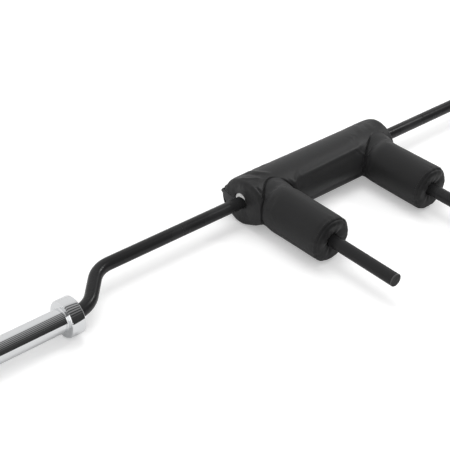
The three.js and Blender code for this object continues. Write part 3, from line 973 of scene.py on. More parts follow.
def about_handles(points):
    """The side of each point, its distance from that handle's axis, and its reach forward."""
    side = np.where(points[:, 0] < 0, -1, 1)
    about = np.hypot(points[:, 0] - side * HANDLE_X, points[:, 2] - AXIS_HEIGHT)
    return side, about, -points[:, 1]


def roll_ring(side, reach, radius, count):
    """A closed ring about a handle's axis, so far in front of the bar's axis."""
    middle = (side * HANDLE_X, -reach, AXIS_HEIGHT)
    return closed_line(circle(middle, (1, 0, 0), (0, 0, 1), radius, count))


def near_ends(points):
    return np.abs(points[:, 0]) > END_ZONE


def scale_about(points, chosen, axis, middle, level, factor):
    """Moves the chosen points away from a level line, across it, by a factor."""
    points[chosen, axis] = middle + (points[chosen, axis] - middle) * factor
    points[chosen, 2] = level + (points[chosen, 2] - level) * factor


def root_size(angles, side):
    """Half width, half height and lean to the left of a shoulder roll's root, round its axis."""
    inner, upper = (1 + np.cos(angles)) / 2, (1 + np.sin(angles)) / 2
    wide_in, tall_in, tall_out, lean = ROOTS[side]
    wide_in = ROOT_INNER_LOW + (wide_in - ROOT_INNER_LOW) * step(np.sin(angles), -0.9, 0.1)
    wide = ROOT_OUTER + (wide_in - ROOT_OUTER) * inner
    top = tall_out + (tall_in - tall_out) * inner
    return wide, ROOT_LOWER + (top - ROOT_LOWER) * upper, lean * np.maximum(np.sin(angles), 0) ** 2


def root_curve(side):
    """Where a shoulder roll meets the main roll, from its inner side over the top."""
    angles = around(240)
    wide, tall, lean = root_size(angles, side)
    height = tall * np.sin(angles)
    x = side * (HANDLE_X - wide * np.cos(angles)) + lean
    reach = np.sqrt(np.maximum(MAIN_RADIUS**2 - height**2, 0)) * front_swell(x, height)
    return np.stack([x, -reach, AXIS_HEIGHT + height], 1), angles


def front_swell(x, height):
    """How much further forward the main roll reaches beside the shoulder rolls, as a factor."""
    corner = 1.7 * np.exp(-(((height + 31 * MM) / (14 * MM)) ** 2))
    fade = 1 - step(-height, 38 * MM, 54 * MM)
    return 1 + FRONT_SWELL_SHARE * (1 + corner) * fade * step(np.abs(x), 176 * MM, 212 * MM)


def main_volume(sizes):
    """The main roll as a closed body, blind pockets where the bar comes out."""
    radius = MAIN_RADIUS - sizes.slack
    half = MAIN_HIGH.x - sizes.slack
    hole, edge = sizes.shaft_hole, sizes.edge
    pocket, lip, puff_reach = 14 * MM, 0.8 * MM, 60 * MM
    square_share, left_top_share = 0.65, 0.75
    end = [(-half + pocket, 0), (-half + pocket, hole), (-half + 2 * MM, hole)]
    end += [(-half + lip, hole + 2 * lip), (-half, radius * 0.6)]
    end += arc(-half + edge, radius - edge, edge, 180, 90, 10)
    points, faces = skin(lathe_rows(mirrored(end), (0, 0, AXIS_HEIGHT), (1, 0, 0), 120))
    left = points[:, 0] > 0
    inset = half - np.abs(points[:, 0])
    front = step(-points[:, 1], 0.45 * radius, 0.8 * radius)
    left_top = np.where(left, left_top_share, 0) * step(points[:, 2] - AXIS_HEIGHT, 0, 0.5 * radius)
    squared = np.where(inset < edge, inset * (1 - square_share * np.maximum(front, left_top)), inset)
    squared = squared - np.where(left, sizes.far_puff, 0) * step(-inset, -puff_reach, 0)
    points[:, 0] = np.sign(points[:, 0]) * (half - squared)
    swell = front_swell(points[:, 0], points[:, 2] - AXIS_HEIGHT)
    points[:, 1] = np.where(points[:, 1] < 0, points[:, 1] * swell, points[:, 1])
    share = 1 - step(about_axis(points)[1], hole + 1 * MM, radius - edge)
    points[:, 1:] += share[:, None] * hole_shift(sizes)
    return points, faces


def roll_volume(side, sizes):
    """A shoulder roll as a closed body that starts inside the main roll."""
    radius = ROLL_RADIUS - sizes.slack
    start, end = 8 * MM, ROLL_END - 8 * MM
    pocket = end - 14 * MM
    hole, edge = sizes.handle_hole, sizes.roll_edge
    angles = around(110)

    def ring(reach, size):
        share = 1 - step(reach, MAIN_RADIUS - 4 * MM, MAIN_RADIUS + ROOT_SWELL[side])
        root_wide, root_tall, lean = root_size(angles, side)
        wide = size + (root_wide - ROLL_RADIUS) * share
        tall = size + (root_tall - ROLL_RADIUS) * share
        x = side * (HANDLE_X - wide * np.cos(angles)) + lean * share
        return np.stack([x, np.full_like(x, -reach), AXIS_HEIGHT + tall * np.sin(angles)], 1)

    rows = [np.array([[side * HANDLE_X, -start, AXIS_HEIGHT]])]
    rows += [ring(reach, radius) for reach in np.linspace(start, end - edge, 40)]
    rows += [ring(reach, size) for reach, size in arc(end - edge, radius - edge, edge, 90, 15, 5)]
    for proud, share in ((3.4, 0.86), (5.6, 0.74), (5.4, 0.56), (3.4, 0.42)):
        rows.append(ring(end + proud * MM, radius * share))
    rows += [ring(end + 1.4 * MM, hole + 1.6 * MM), ring(end - 1 * MM, hole), ring(pocket, hole)]
    rows += [np.array([[side * HANDLE_X, -pocket, AXIS_HEIGHT]])]
    return skin(rows)


def lip_share(degrees):
    """1 on the lower lip of the rear opening, by angle round the bar, and 0 beside it."""
    return step(degrees, -34, -22) * (1 - step(degrees, 4.5, 6.5))


def crease_share(angles, side):
    """The root crease's depth as a share: shallow over the top and below, where the cover runs on."""
    angles = np.mod(angles, 2 * math.pi)
    depth = 1 - 0.8 * step(angles, 3.4, 3.9) * (1 - step(angles, 5.4, 5.9))
    if side > 0:
        return depth * (1 - 0.85 * step(angles, 0.95, 1.35) * (1 - step(angles, 2.9, 3.4)))
    return depth * (1 - 0.85 * np.exp(-(((angles - 1.18) / 0.3) ** 2)))


def about_root(points, side):
    """Distance to where a shoulder roll meets the main roll, and its crease's depth as a share."""
    gap, along = nearest_on(root_curve(side)[0], points)
    return gap, crease_share(along * 2 * math.pi, side)


def inflate(piece, held, sizes):
    """Blows the cover up as cloth, held where it is sewn, and caps how far it moves."""
    scene = bpy.context.scene
    start = coordinates(piece.data)
    group = piece.vertex_groups.new(name="sewn")
    group.add([int(i) for i in np.flatnonzero(held)], 1.0, "REPLACE")
    cloth = piece.modifiers.new("Cloth", "CLOTH")
    fabric = {
        "quality": 5,
        "mass": 0.3,
        "tension_stiffness": 18,
        "compression_stiffness": 18,
        "shear_stiffness": 8,
        "bending_stiffness": 0.6,
        "air_damping": 7,
        "use_pressure": True,
        "uniform_pressure_force": 4,
        "shrink_min": -0.012,
        "vertex_group_mass": "sewn",
    }
    for name, value in fabric.items():
        setattr(cloth.settings, name, value)
    cloth.settings.effector_weights.gravity = 0
    cloth.collision_settings.use_collision = False
    last_frame = 20
    cloth.point_cache.frame_start, cloth.point_cache.frame_end = 1, last_frame
    for number in range(1, last_frame + 1):
        scene.frame_set(number)
    graph = bpy.context.evaluated_depsgraph_get()
    moved = coordinates(piece.evaluated_get(graph).data) - start
    piece.modifiers.remove(cloth)
    piece.vertex_groups.clear()
    scene.frame_set(1)
    outwards = vertex_normals(piece.data)
    swollen = (moved * outwards).sum(1)
    moved += outwards * (np.clip(swollen, -0.3 * MM, sizes.swell) - swollen)[:, None]
    far = np.linalg.norm(moved, axis=1)
    limit = np.minimum(1, sizes.swell / np.maximum(far, 1e-9))
    set_coordinates(piece.data, start + moved * limit[:, None])


def press_on_floor(points):
    """Soft contact with the floor."""
    low, soft = 0.3 * MM, 2.5 * MM
    near = points[:, 2] < low + soft
    share = np.clip((points[near, 2] - low) / soft, -40, 1)
    points[near, 2] = low + soft * np.where(share > -1, (share + 1) ** 2 / 4, 0)
    return points


class Sculptor:
    """Gathers pushes along the surface normals of a cover."""

    def __init__(self, mesh):
        self.mesh = mesh
        self.points = coordinates(mesh)
        self.normals = vertex_normals(mesh)
        self.push = np.zeros(len(self.points))
        self.tree = kdtree.KDTree(len(self.points))
        for i, point in enumerate(self.points):
            self.tree.insert(point, i)
        self.tree.balance()

    def snapped(self, line, rounds=0):
        """The line laid onto the cover, and smoothed."""
        laid = self.points[[self.tree.find(p)[1] for p in line]].copy()
        for _ in range(rounds):
            laid[1:-1] = (laid[:-2] + 2 * laid[1:-1] + laid[2:]) / 4
        return laid

    def near(self, line, width):
        """The cover's points in a box round a line, wide enough for a cut of that width."""
        low, high = line.min(0) - 3.2 * width, line.max(0) + 3.2 * width
        return np.flatnonzero(((self.points > low) & (self.points < high)).all(1))

    def fold(self, corners, height, width, blunt=0.25):
        """A ridge (or a valley, with a negative height) along a smooth line."""
        line = smooth_line(self.snapped(corners), 90)
        index = self.near(line, width)
        if not len(index):
            return
        gap, along = nearest_on(line, self.points[index])
        fade = step(along, 0, blunt) * (1 - step(along, 1 - blunt, 1))
        self.push[index] += height * fade * np.exp(-((gap / width) ** 2))

    def groove(self, line, depth, width):
        """A sewn line; depth may change along it."""
        index = self.near(line, width)
        gap, along = nearest_on(line, self.points[index])
        depth = np.asarray(depth, float)
        if depth.ndim:
            depth = np.interp(along, np.linspace(0, 1, len(depth)), depth)
        self.push[index] -= depth * np.exp(-((gap / width) ** 2))

    def apply(self):
        self.points += self.normals * self.push[:, None]
        set_coordinates(self.mesh, self.points)
        self.normals = vertex_normals(self.mesh)
        self.push[:] = 0


class SQUATBAR_OT_cover(bpy.types.Operator):
    """Build the sewn cover: one skin blown up over the three rolls, then creased and parted"""

    bl_idname = "squatbar.cover"
    bl_label = "Pad cover"

    def execute(self, context):
        sizes = context.scene.squatbar_pad
        whole = self.joined_skin(sizes)
        self.fillet_tops(whole.data)
        inflate(whole, self.sewn_points(coordinates(whole.data), sizes), sizes)
        whole.modifiers.new("Finer", "SUBSURF").levels = 1
        bake_modifiers(whole)
        self.crease(whole.data, sizes)
        self.part(whole, sizes)
        return {"FINISHED"}

    @staticmethod
    def joined_skin(sizes):
        """The three rolls as one closed skin of even cells."""
        whole = bmesh.new()
        for points, faces in (main_volume(sizes), roll_volume(-1, sizes), roll_volume(1, sizes)):
            roll = piece_from("roll_body", points, faces, "cover_vinyl")
            whole.from_mesh(roll.data)
            bpy.data.objects.remove(roll)
        mesh = bpy.data.meshes.new("pad_skin")
        whole.to_mesh(mesh)
        whole.free()
        piece = bpy.data.objects.new("pad_skin", mesh)
        bpy.context.scene.collection.objects.link(piece)
        remesh = piece.modifiers.new("Even", "REMESH")
        remesh.mode = "VOXEL"
        remesh.voxel_size = sizes.cell
        remesh.adaptivity = 0
        return bake_modifiers(piece)

    @staticmethod
    def fillet_tops(mesh):
        """Softens the inside corner over the top of each root, where the cover runs on."""
        points = coordinates(mesh)
        least_share, most_share, rounds, width = 0.12, 0.85, 14, 16 * MM
        share = np.full(len(points), least_share)
        for side in SIDES.values():
            gap, depth_share = about_root(points, side)
            strength = 0.25 + 0.6 * (1 - depth_share)
            share = np.maximum(share, np.exp(-((gap / width) ** 2)) * strength)
        relax(mesh, np.clip(share, 0, most_share), rounds)

    @staticmethod
    def sewn_points(points, sizes):
        """True where the cover is sewn down or held, so that it can't swell."""
        margin, seam_width, root_width = 3 * MM, 2.6 * MM, 5 * MM
        _, about_handle, reach = about_handles(points)
        held = (about_shaft_hole(points, sizes) < sizes.shaft_hole + margin) & near_ends(points)
        held |= (about_handle < sizes.handle_hole + margin) & (reach > ROLL_END - 30 * MM)
        from_seam = np.hypot(about_handle - (ROLL_RADIUS - 4.5 * MM), reach - (ROLL_END - 8.5 * MM))
        held |= from_seam < seam_width
        for side in SIDES.values():
            gap, depth_share = about_root(points, side)
            held |= (gap < root_width) & (depth_share > 0.6)
        return held

    def crease(self, mesh, sizes):
        """Root creases, seams, gathers and folds."""
        chisel = Sculptor(mesh)
        for side in SIDES.values():
            loop = closed_line(root_curve(side)[0])
            depth = sizes.crease * crease_share(np.linspace(0, 2 * math.pi - 1e-6, len(loop)), side)
            chisel.groove(smooth_line(chisel.snapped(loop, 14), 1200), depth, 1.8 * MM)
            ring = roll_ring(side, ROLL_END - 7 * MM, ROLL_RADIUS - 5 * MM, 200)
            chisel.groove(ring, 2 * MM, 1.7 * MM)
            chisel.groove(self.long_seam(side), 1.3 * MM, 1.5 * MM)
        chisel.apply()
        self.slit(chisel)
        self.gathers(chisel, sizes)
        for corners, height, width in FOLDS:
            line = [around_bar(x * MM, degrees) for x, degrees in corners]
            chisel.fold(line, height * MM, width * MM)
        chisel.apply()
        points = press_on_floor(coordinates(mesh))
        self.flare_lips(points)
        self.clear_of_metal(points, sizes)
        set_coordinates(mesh, points)

    @staticmethod
    def long_seam(side):
        """The seam that runs along a shoulder roll, low on its outer side."""
        below = math.radians(-23)
        reach = np.linspace(72 * MM, ROLL_END - 9 * MM, 160)
        out = np.full_like(reach, side * (HANDLE_X + ROLL_RADIUS * math.cos(below)))
        height = np.full_like(reach, AXIS_HEIGHT + ROLL_RADIUS * math.sin(below))
        return np.stack([out, -reach, height], 1)

    @staticmethod
    def slit(chisel):
        """The ends of the rear opening: the upper edge laps over a recessed lower lip."""
        angle, radius = about_axis(chisel.points)
        faces_out = np.abs(chisel.normals[:, 0]) * step(radius, 16 * MM, 20 * MM)
        over = step(angle, 6, 8) * (1 - step(angle, 12, 40))
        chisel.push += faces_out * (over * LIP_LAP - lip_share(angle) * LIP_RECESS)
        for side in SIDES.values():
            line = [
                around_bar(side * MAIN_HIGH.x, SLIT_DEGREES + SLIT_SLOPE * radius, radius)
                for radius in (20 * MM, 30 * MM, 40 * MM, 50 * MM, 57 * MM)
            ]
            laid = chisel.snapped(smooth_line(line, 60), 8)
            chisel.groove(smooth_line(laid, 240), 4 * MM, 1.6 * MM)

    @staticmethod
    def flare_lips(points):
        """Turns the lower lip's edge outwards over the end of the flap, more at the right end."""
        angle, radius = about_axis(points)
        ends = step(np.abs(points[:, 0]), 213 * MM, 221 * MM) * step(radius, 42 * MM, 55 * MM)
        left_share = 0.5
        end_share = ends * np.where(points[:, 0] < 0, 1, left_share)
        flare = np.interp(angle, LIP_ANGLES, LIP_FLARES) * end_share * MM
        factor = 1 + flare / np.maximum(radius, 1e-6)
        scale_about(points, slice(None), 1, 0, AXIS_HEIGHT, factor)

    @staticmethod
    def clear_of_metal(points, sizes):
        """Gathers the cover's edges to their holes, and keeps them off the bar and the handles."""

        def gathered(gap, hole, zone, bare):
            """The factor that brings what lies within the bare width to the hole's edge."""
            return (hole + np.maximum(gap - hole - bare, 0) * zone / (zone - bare)) / gap

        side, about_handle, reach = about_handles(points)
        back, up = hole_shift(sizes)
        gap, hole, zone = about_shaft_hole(points, sizes), sizes.shaft_hole, 6 * MM
        near = (gap < hole + zone) & near_ends(points) & (reach < 40 * MM)
        factor = gathered(gap[near], hole, zone, 1.4 * MM)
        scale_about(points, near, 1, back, AXIS_HEIGHT + up, factor)
        hole, zone = sizes.handle_hole, 7 * MM
        near = (about_handle < hole + zone) & (reach > END_ZONE)
        factor = gathered(about_handle[near], hole, zone, 1.8 * MM)
        scale_about(points, near, 0, side[near] * HANDLE_X, AXIS_HEIGHT, factor)
        side, about_handle, reach = about_handles(points)
        about_bar = about_axis(points)[1]
        near = (about_bar < BAR_CLEAR) & near_ends(points)
        scale_about(points, near, 1, 0, AXIS_HEIGHT, BAR_CLEAR / np.maximum(about_bar[near], 1e-6))
        near = (about_handle < HANDLE_CLEAR) & (reach > END_ZONE)
        factor = HANDLE_CLEAR / np.maximum(about_handle[near], 1e-6)
        scale_about(points, near, 0, side[near] * HANDLE_X, AXIS_HEIGHT, factor)

    @staticmethod
    def gathers(chisel, sizes):
        """Short puckers that run off the seams and the roots."""
        dice = np.random.default_rng(7)
        # Waves round each seam and weights; their height, and the heights of the panels' puckers.
        waves_round, wave_height = ((9, 0.5), (14, 0.6), (23, 0.35)), 0.45 * MM
        pucker_height, panel_height, fold_height, fold_width = 0.9 * MM, 0.5 * MM, 0.9 * MM, 3.4 * MM
        side, about_handle, reach = about_handles(chisel.points)
        angle = np.arctan2(chisel.points[:, 2] - AXIS_HEIGHT, chisel.points[:, 0] - side * HANDLE_X)
        off_seam = np.abs(reach - (ROLL_END - 10 * MM))
        fade = np.exp(-off_seam / (14 * MM)) * (about_handle > ROLL_RADIUS * 0.7)
        waves = sum(
            np.sin(angle * n + dice.uniform(0, 6.28) + side) * weight
            for n, weight in waves_round
        )
        chisel.push += waves * fade * wave_height
        panel = step(reach, ROLL_END - 9 * MM, ROLL_END - 5 * MM) * (about_handle < ROLL_RADIUS * 0.92)
        drawn = np.exp(-(((about_handle - sizes.handle_hole) / (16 * MM)) ** 2))
        pucker = np.sin(angle * 7 + 0.6 * side) + 0.7 * np.sin(angle * 11 + 2.1 + side)
        swollen = panel_height * np.sin(angle * 5 + 1)
        chisel.push += panel * (pucker * pucker_height * drawn + swollen)
        radius = ROLL_RADIUS - 3 * MM
        for one in SIDES.values():
            line, angles = root_curve(one)
            for start in range(4, len(line), 13):
                a = angles[start] + dice.uniform(-0.1, 0.1)
                if crease_share(a, one) < 0.45:
                    continue
                root, length = line[start], dice.uniform(10, 26) * MM
                out, height = one * (HANDLE_X - radius * math.cos(a)), AXIS_HEIGHT + radius * math.sin(a)
                tip = np.array([out, root[1] - length, height])
                lift = dice.uniform(-fold_height, fold_height)
                chisel.fold([root, (root + tip) / 2, tip], lift, fold_width, 0.35)

    def part(self, whole, sizes):
        """Parts the skin along the root creases, keeping its smooth shading."""
        mesh = whole.data
        normals = vertex_normals(mesh)
        points = coordinates(mesh)
        middles = np.array([p.center for p in mesh.polygons])
        keep = ~self.inside_holes(middles, sizes)
        on_roll = self.on_shoulder_rolls(middles)
        covers = [("main_roll_cover", keep & ~on_roll, "main_cover", "cover_vinyl", 0.85)]
        for word, side in SIDES.items():
            own, node = keep & on_roll & (middles[:, 0] * side > 0), f"shoulder_cover_{word}"
            covers.append((f"shoulder_roll_cover_{word}", own, node, "painted_shade_roll_vinyl", 0.8))
        corners = [tuple(p.vertices) for p in mesh.polygons]
        for name, chosen, node, vinyl, fill in covers:
            faces = [corners[i] for i in np.flatnonzero(chosen)]
            used = np.unique(np.concatenate([np.array(f) for f in faces]))
            number = np.full(len(points), -1)
            number[used] = np.arange(len(used))
            faces = [tuple(int(number[v]) for v in f) for f in faces]
            cover = piece_from(name, points[used], faces, vinyl, closed=False)
            cover.data.normals_split_custom_set_from_vertices([tuple(n) for n in normals[used]])
            if name == "main_roll_cover":
                self.line_lips(cover.data)
            place_on(cover, "bar", "black_vinyl", node)
        bpy.data.objects.remove(whole)

    @staticmethod
    def inside_holes(middles, sizes):
        """True for the faces of the blind pockets, which the bar and the handles pass through."""
        _, about_handle, reach = about_handles(middles)
        about_hole = about_shaft_hole(middles, sizes)
        kept_brim, wall_brim, face_depth = 1.6 * MM, 1.5 * MM, 4 * MM
        at_bar, at_front = reach < 30 * MM, reach > ROLL_END - 40 * MM
        inside = (about_hole < sizes.shaft_hole - kept_brim) & near_ends(middles) & at_bar
        inside |= (about_handle < sizes.handle_hole - kept_brim) & at_front
        kept_to = MAIN_HIGH.x - face_depth - LIP_RECESS * lip_share(about_axis(middles)[0])
        deep = np.abs(middles[:, 0]) < kept_to
        inside |= (about_hole < sizes.shaft_hole + wall_brim) & deep & at_bar
        deep = (reach < ROLL_END - 13 * MM) & (reach > 150 * MM)
        return inside | (about_handle < sizes.handle_hole + wall_brim) & deep

    @staticmethod
    def on_shoulder_rolls(middles):
        """True for the faces that belong to a shoulder roll."""
        _, about_handle, reach = about_handles(middles)
        height = middles[:, 2] - AXIS_HEIGHT
        swell = np.where(reach > 0, front_swell(middles[:, 0], height), 1)
        about_main = np.hypot(middles[:, 1] / swell, height)
        nearer = np.abs(about_handle - ROLL_RADIUS) < np.abs(about_main - MAIN_RADIUS)
        beside = np.abs(np.abs(middles[:, 0]) - HANDLE_X) < ROLL_RADIUS + 2 * MM
        return nearer & beside & (reach > 20 * MM) & (about_main > MAIN_RADIUS - 8 * MM)

    @staticmethod
    def line_lips(mesh):
        """Shows the lining, with its painted shadow along the slit, on the lower lip at each end of the rear
        opening.
        """
        mesh.materials.append(finish_named("lip_lining"))
        for polygon in mesh.polygons:
            x, y, z = polygon.center
            angle = math.degrees(math.atan2(z - AXIS_HEIGHT, y))
            outer = math.hypot(y, z - AXIS_HEIGHT) > 18 * MM
            if abs(x) > MAIN_HIGH.x - 10 * MM and -36 < angle < 13 and outer:
                polygon.material_index = 1


class SQUATBAR_OT_cores(bpy.types.Operator):
    """Build the foam cores inside the covers"""

    bl_idname = "squatbar.cores"
    bl_label = "Foam cores"

    # How much smaller than its cover each core is round its outside.
    inset = 7 * MM

    def execute(self, context):
        bar, pad = context.scene.squatbar_bar, context.scene.squatbar_pad
        rows = self.main_rows(bar.shaft / 2 + FIT, pad)
        core = piece_from("main_core", *skin(rows, wrap_rows=True), "foam_cells", 32)
        place_on(core, "bar", "white_foam", "main_foam")
        for word, side in SIDES.items():
            rows = self.shoulder_rows(bar.handle / 2 + 0.4 * MM, side)
            core = piece_from(f"shoulder_core_{word}", *skin(rows, wrap_rows=True), "foam_cells", 50)
            place_on(core, "bar", "white_foam", f"shoulder_foam_{word}")
        return {"FINISHED"}

    def main_rows(self, bore, pad):
        """Rings of the main core, its two ends brought into the cover's holes for the bar."""
        radius, edge = MAIN_RADIUS - self.inset, 9 * MM
        mouth, face = pad.shaft_hole - 0.4 * MM, MAIN_HIGH.x - 4.5 * MM
        end = [(-face, bore), (-face, mouth), (-face + 4 * MM, mouth)]
        end += [(-FOAM_HALF, 28 * MM), (-FOAM_HALF, radius * 0.7)]
        end += arc(-FOAM_HALF + edge, radius - edge, edge, 160, 90, 5)
        rows = lathe_rows(mirrored(end), (0, 0, AXIS_HEIGHT), (1, 0, 0), 80)
        for side, ends in ((-1, rows[:3]), (1, rows[:-4:-1])):
            self.bring_out(ends[0], pad, bore, mouth, side)
            for row in ends[1:]:
                self.move_aside(row, pad, bore)
            for row in ends:
                lip = lip_share(about_axis(row)[0])
                row[:, 0] += side * (-LIP_RECESS * lip + (pad.far_puff if side > 0 else 0))
        return rows

    @staticmethod
    def bring_out(row, pad, bore, mouth, side):
        """Brings the ring at the bar outwards, as far as the hole is wide of the bar there."""
        rise, (back, up) = pad.shaft_hole_rise, HOLE_WAY_SHARES
        towards = (row[:, 1] * back + (row[:, 2] - AXIS_HEIGHT) * up) / bore * rise
        gap = towards + np.sqrt(mouth**2 - rise**2 + towards**2) - bore
        row[:, 0] += side * np.clip(0.95 * gap, 0, 4 * MM)

    @staticmethod
    def move_aside(row, pad, bore):
        """Moves a ring to the middle of the cover's hole, clear of the bar."""
        row[:, 1:] += hole_shift(pad)
        factor = np.maximum((bore + 0.1 * MM) / about_axis(row)[1], 1)
        scale_about(row, slice(None), 1, 0, AXIS_HEIGHT, factor)

    def shoulder_rows(self, hole, side):
        """Rings of a shoulder roll's core, from the main roll to the front panel."""
        angles = around(80)
        front, outer = ROLL_FOAM_FRONT, ROLL_RADIUS - self.inset
        root = outer - 12 * MM

        def ring(reach, size):
            x = side * (HANDLE_X - size * np.cos(angles))
            return np.stack([x, np.broadcast_to(-reach, x.shape), AXIS_HEIGHT + size * np.sin(angles)], 1)

        def off_main(size):
            return np.sqrt(np.maximum((MAIN_RADIUS + 1 * MM) ** 2 - (size * np.sin(angles)) ** 2, 0))

        rows = [ring(off_main(hole), hole), ring(off_main(root), root), ring(off_main(root) + 26 * MM, outer)]
        rows += [ring(reach, outer) for reach in np.linspace(100 * MM, front - 8 * MM, 8)]
        rows += [ring(front - 4 * MM, outer - 3 * MM), ring(front - 2 * MM, outer - 9 * MM)]
        rows += [ring(front - 2 * MM, hole + 9 * MM), ring(front - 2.5 * MM, hole + 1 * MM)]
        return rows + [ring(front - 3 * MM, hole)]


class SQUATBAR_OT_closure(bpy.types.Operator):
    """Build the flap and the two fastening tapes along the back of the pad"""

    bl_idname = "squatbar.closure"
    bl_label = "Closure"

    # Node, slot, finish, distance off the roll, thickness, lower and upper edge in degrees, half
    # length, how far the loose edge lifts as a share, and how far the sewn edge sinks.
    strips = {
        "loop_strip": (
            "loop_tape", "black_tape", "tape_pile", 0.9 * MM, 1.3 * MM, -26, 1, TAPE_HALF, 0, 0
        ),
        "hook_strip": (
            "hook_tape", "black_tape", "tape_pile", 2.4 * MM, 1.3 * MM, -27, 0, TAPE_HALF, 0.35, 0
        ),
        "closure_cover": (
            "closure_flap", "black_vinyl", "cover_vinyl", 3.9 * MM, 1.2 * MM, -31, 19, FLAP_HALF, 1, 3 * MM
        ),
    }

    def execute(self, context):
        for name, (node, slot, finish, off, *form) in self.strips.items():
            thick, low, high, half, lift_share, sunk = form
            surface = self.ribbon(MAIN_RADIUS + off, thick, low, high, half, lift_share, sunk)
            strip = piece_from(name, *surface, finish, 50)
            if name == "closure_cover":
                self.line_flap(strip.data)
            place_on(strip, "bar", slot, node)
        return {"FINISHED"}

    @staticmethod
    def line_flap(mesh):
        """Shows the woven backing on the side of the flap that lies against the tapes."""
        mesh.materials.append(finish_named("flap_lining"))
        for polygon in mesh.polygons:
            middle, normal = polygon.center, polygon.normal
            if normal.y * middle.y + normal.z * (middle.z - AXIS_HEIGHT) < 0:
                polygon.material_index = 1

    @staticmethod
    def ribbon(radius, thick, low, high, half, lift_share, sunk):
        """A thin curved strip along the back, its loose corners standing off at the ends."""
        columns = np.linspace(-half, half, 150)
        rows = 20
        near_curl, far_curl, curl_length = 3.5 * MM, 2.5 * MM, 9 * MM
        outside, inside = [], []
        for share in np.linspace(0, 1, rows):
            degrees = low + (high - low) * share
            loose = 1 - step(share, 0.35, 0.95)
            line_out, line_in = [], []
            for x in columns:
                from_near, from_far = x + half, half - x
                # Each loose corner curls up, and the edge between them waves a little.
                curl = math.exp(-from_near / curl_length) * near_curl
                curl += math.exp(-from_far / curl_length) * far_curl
                wave = (0.7 * math.sin(x * 46 + 1) + 0.5 * math.sin(x * 91 + share * 3)) * MM
                lift = (curl * (0.35 + 0.65 * loose) + 0.5 * wave * loose) * lift_share
                off = radius + (lift - step(share, 0.6, 0.9) * sunk)
                corner = math.exp(-min(from_near, from_far) / curl_length) * share
                ripple = 1.2 * math.exp(-from_near / (10 * MM)) * math.sin(share * 17)
                angle = degrees + lift_share * (ripple - 6 * corner)
                line_out.append(around_bar(x, angle, off + thick))
                line_in.append(around_bar(x, angle, off))
            outside.append(line_out)
            inside.append(line_in)
        loop = [np.array(row) for row in outside + inside[::-1]]
        points, faces = skin(loop, wrap_rows=True, wrap_columns=False)
        size = len(columns)
        for at in (0, size - 1):
            for i in range(rows - 1):
                outer, inner = i * size + at, (2 * rows - 2 - i) * size + at
                faces.append((outer, outer + size, inner, inner + size))
        return points, faces


class SQUATBAR_OT_stitches(bpy.types.Operator):
    """Sew the visible rows of stitches on the rolls' ends and on the flap"""

    bl_idname = "squatbar.stitches"
    bl_label = "Stitching"

    # A stitch by share of its length: radius and lift in millimetres.
    thread = ((0, 0.12, -0.25), (0.18, 0.36, 0.18), (0.5, 0.42, 0.3), (0.82, 0.36, 0.18), (1, 0.12, -0.25))
    thread_sides = 6

    def execute(self, context):
        for word, side in SIDES.items():
            ring = roll_ring(side, ROLL_END - 13 * MM, ROLL_RADIUS + 3 * MM, 76)
            self.sewn_row(f"roll_stitching_{word}", f"shoulder_roll_cover_{word}", ring)
        for number, degrees in ((1, 13.5), (2, 16.5)):
            along = np.arange(-213, 213.1, 4.6) * MM
            line = [around_bar(x, degrees, MAIN_RADIUS + 8 * MM) for x in along]
            self.sewn_row(f"flap_stitching_{number}", "closure_cover", line)
        return {"FINISHED"}

    def sewn_row(self, name, cover, line):
        """Short threads laid on a cover between neighbouring points of a line."""
        graph = bpy.context.evaluated_depsgraph_get()
        surface = bpy.data.objects[cover].evaluated_get(graph)
        points, faces = [], []
        for start, end in zip(line[:-1], line[1:]):
            start, end = Vector(start), Vector(end)
            ends = [surface.closest_point_on_mesh(start.lerp(end, share)) for share in (0.14, 0.86)]
            (_, first, up_first, _), (_, last, up_last, _) = ends
            way = (last - first).normalized()
            up = ((up_first + up_last) / 2).normalized()
            across = way.cross(up).normalized()
            rows = []
            for share, radius, lift in self.thread:
                middle = first.lerp(last, share) + up * lift * MM
                rows.append(circle(middle, across, up, radius * MM, self.thread_sides))
            base = len(points)
            made, sides = skin(rows)
            points += list(made)
            faces += [tuple(base + i for i in face) for face in sides]
            faces.append(tuple(base + i for i in range(self.thread_sides)))
            faces.append(tuple(base + len(made) - 1 - i for i in range(self.thread_sides)))
        place_on(piece_from(name, points, faces, "sewing_thread"), "bar", "black_vinyl")


# Stage


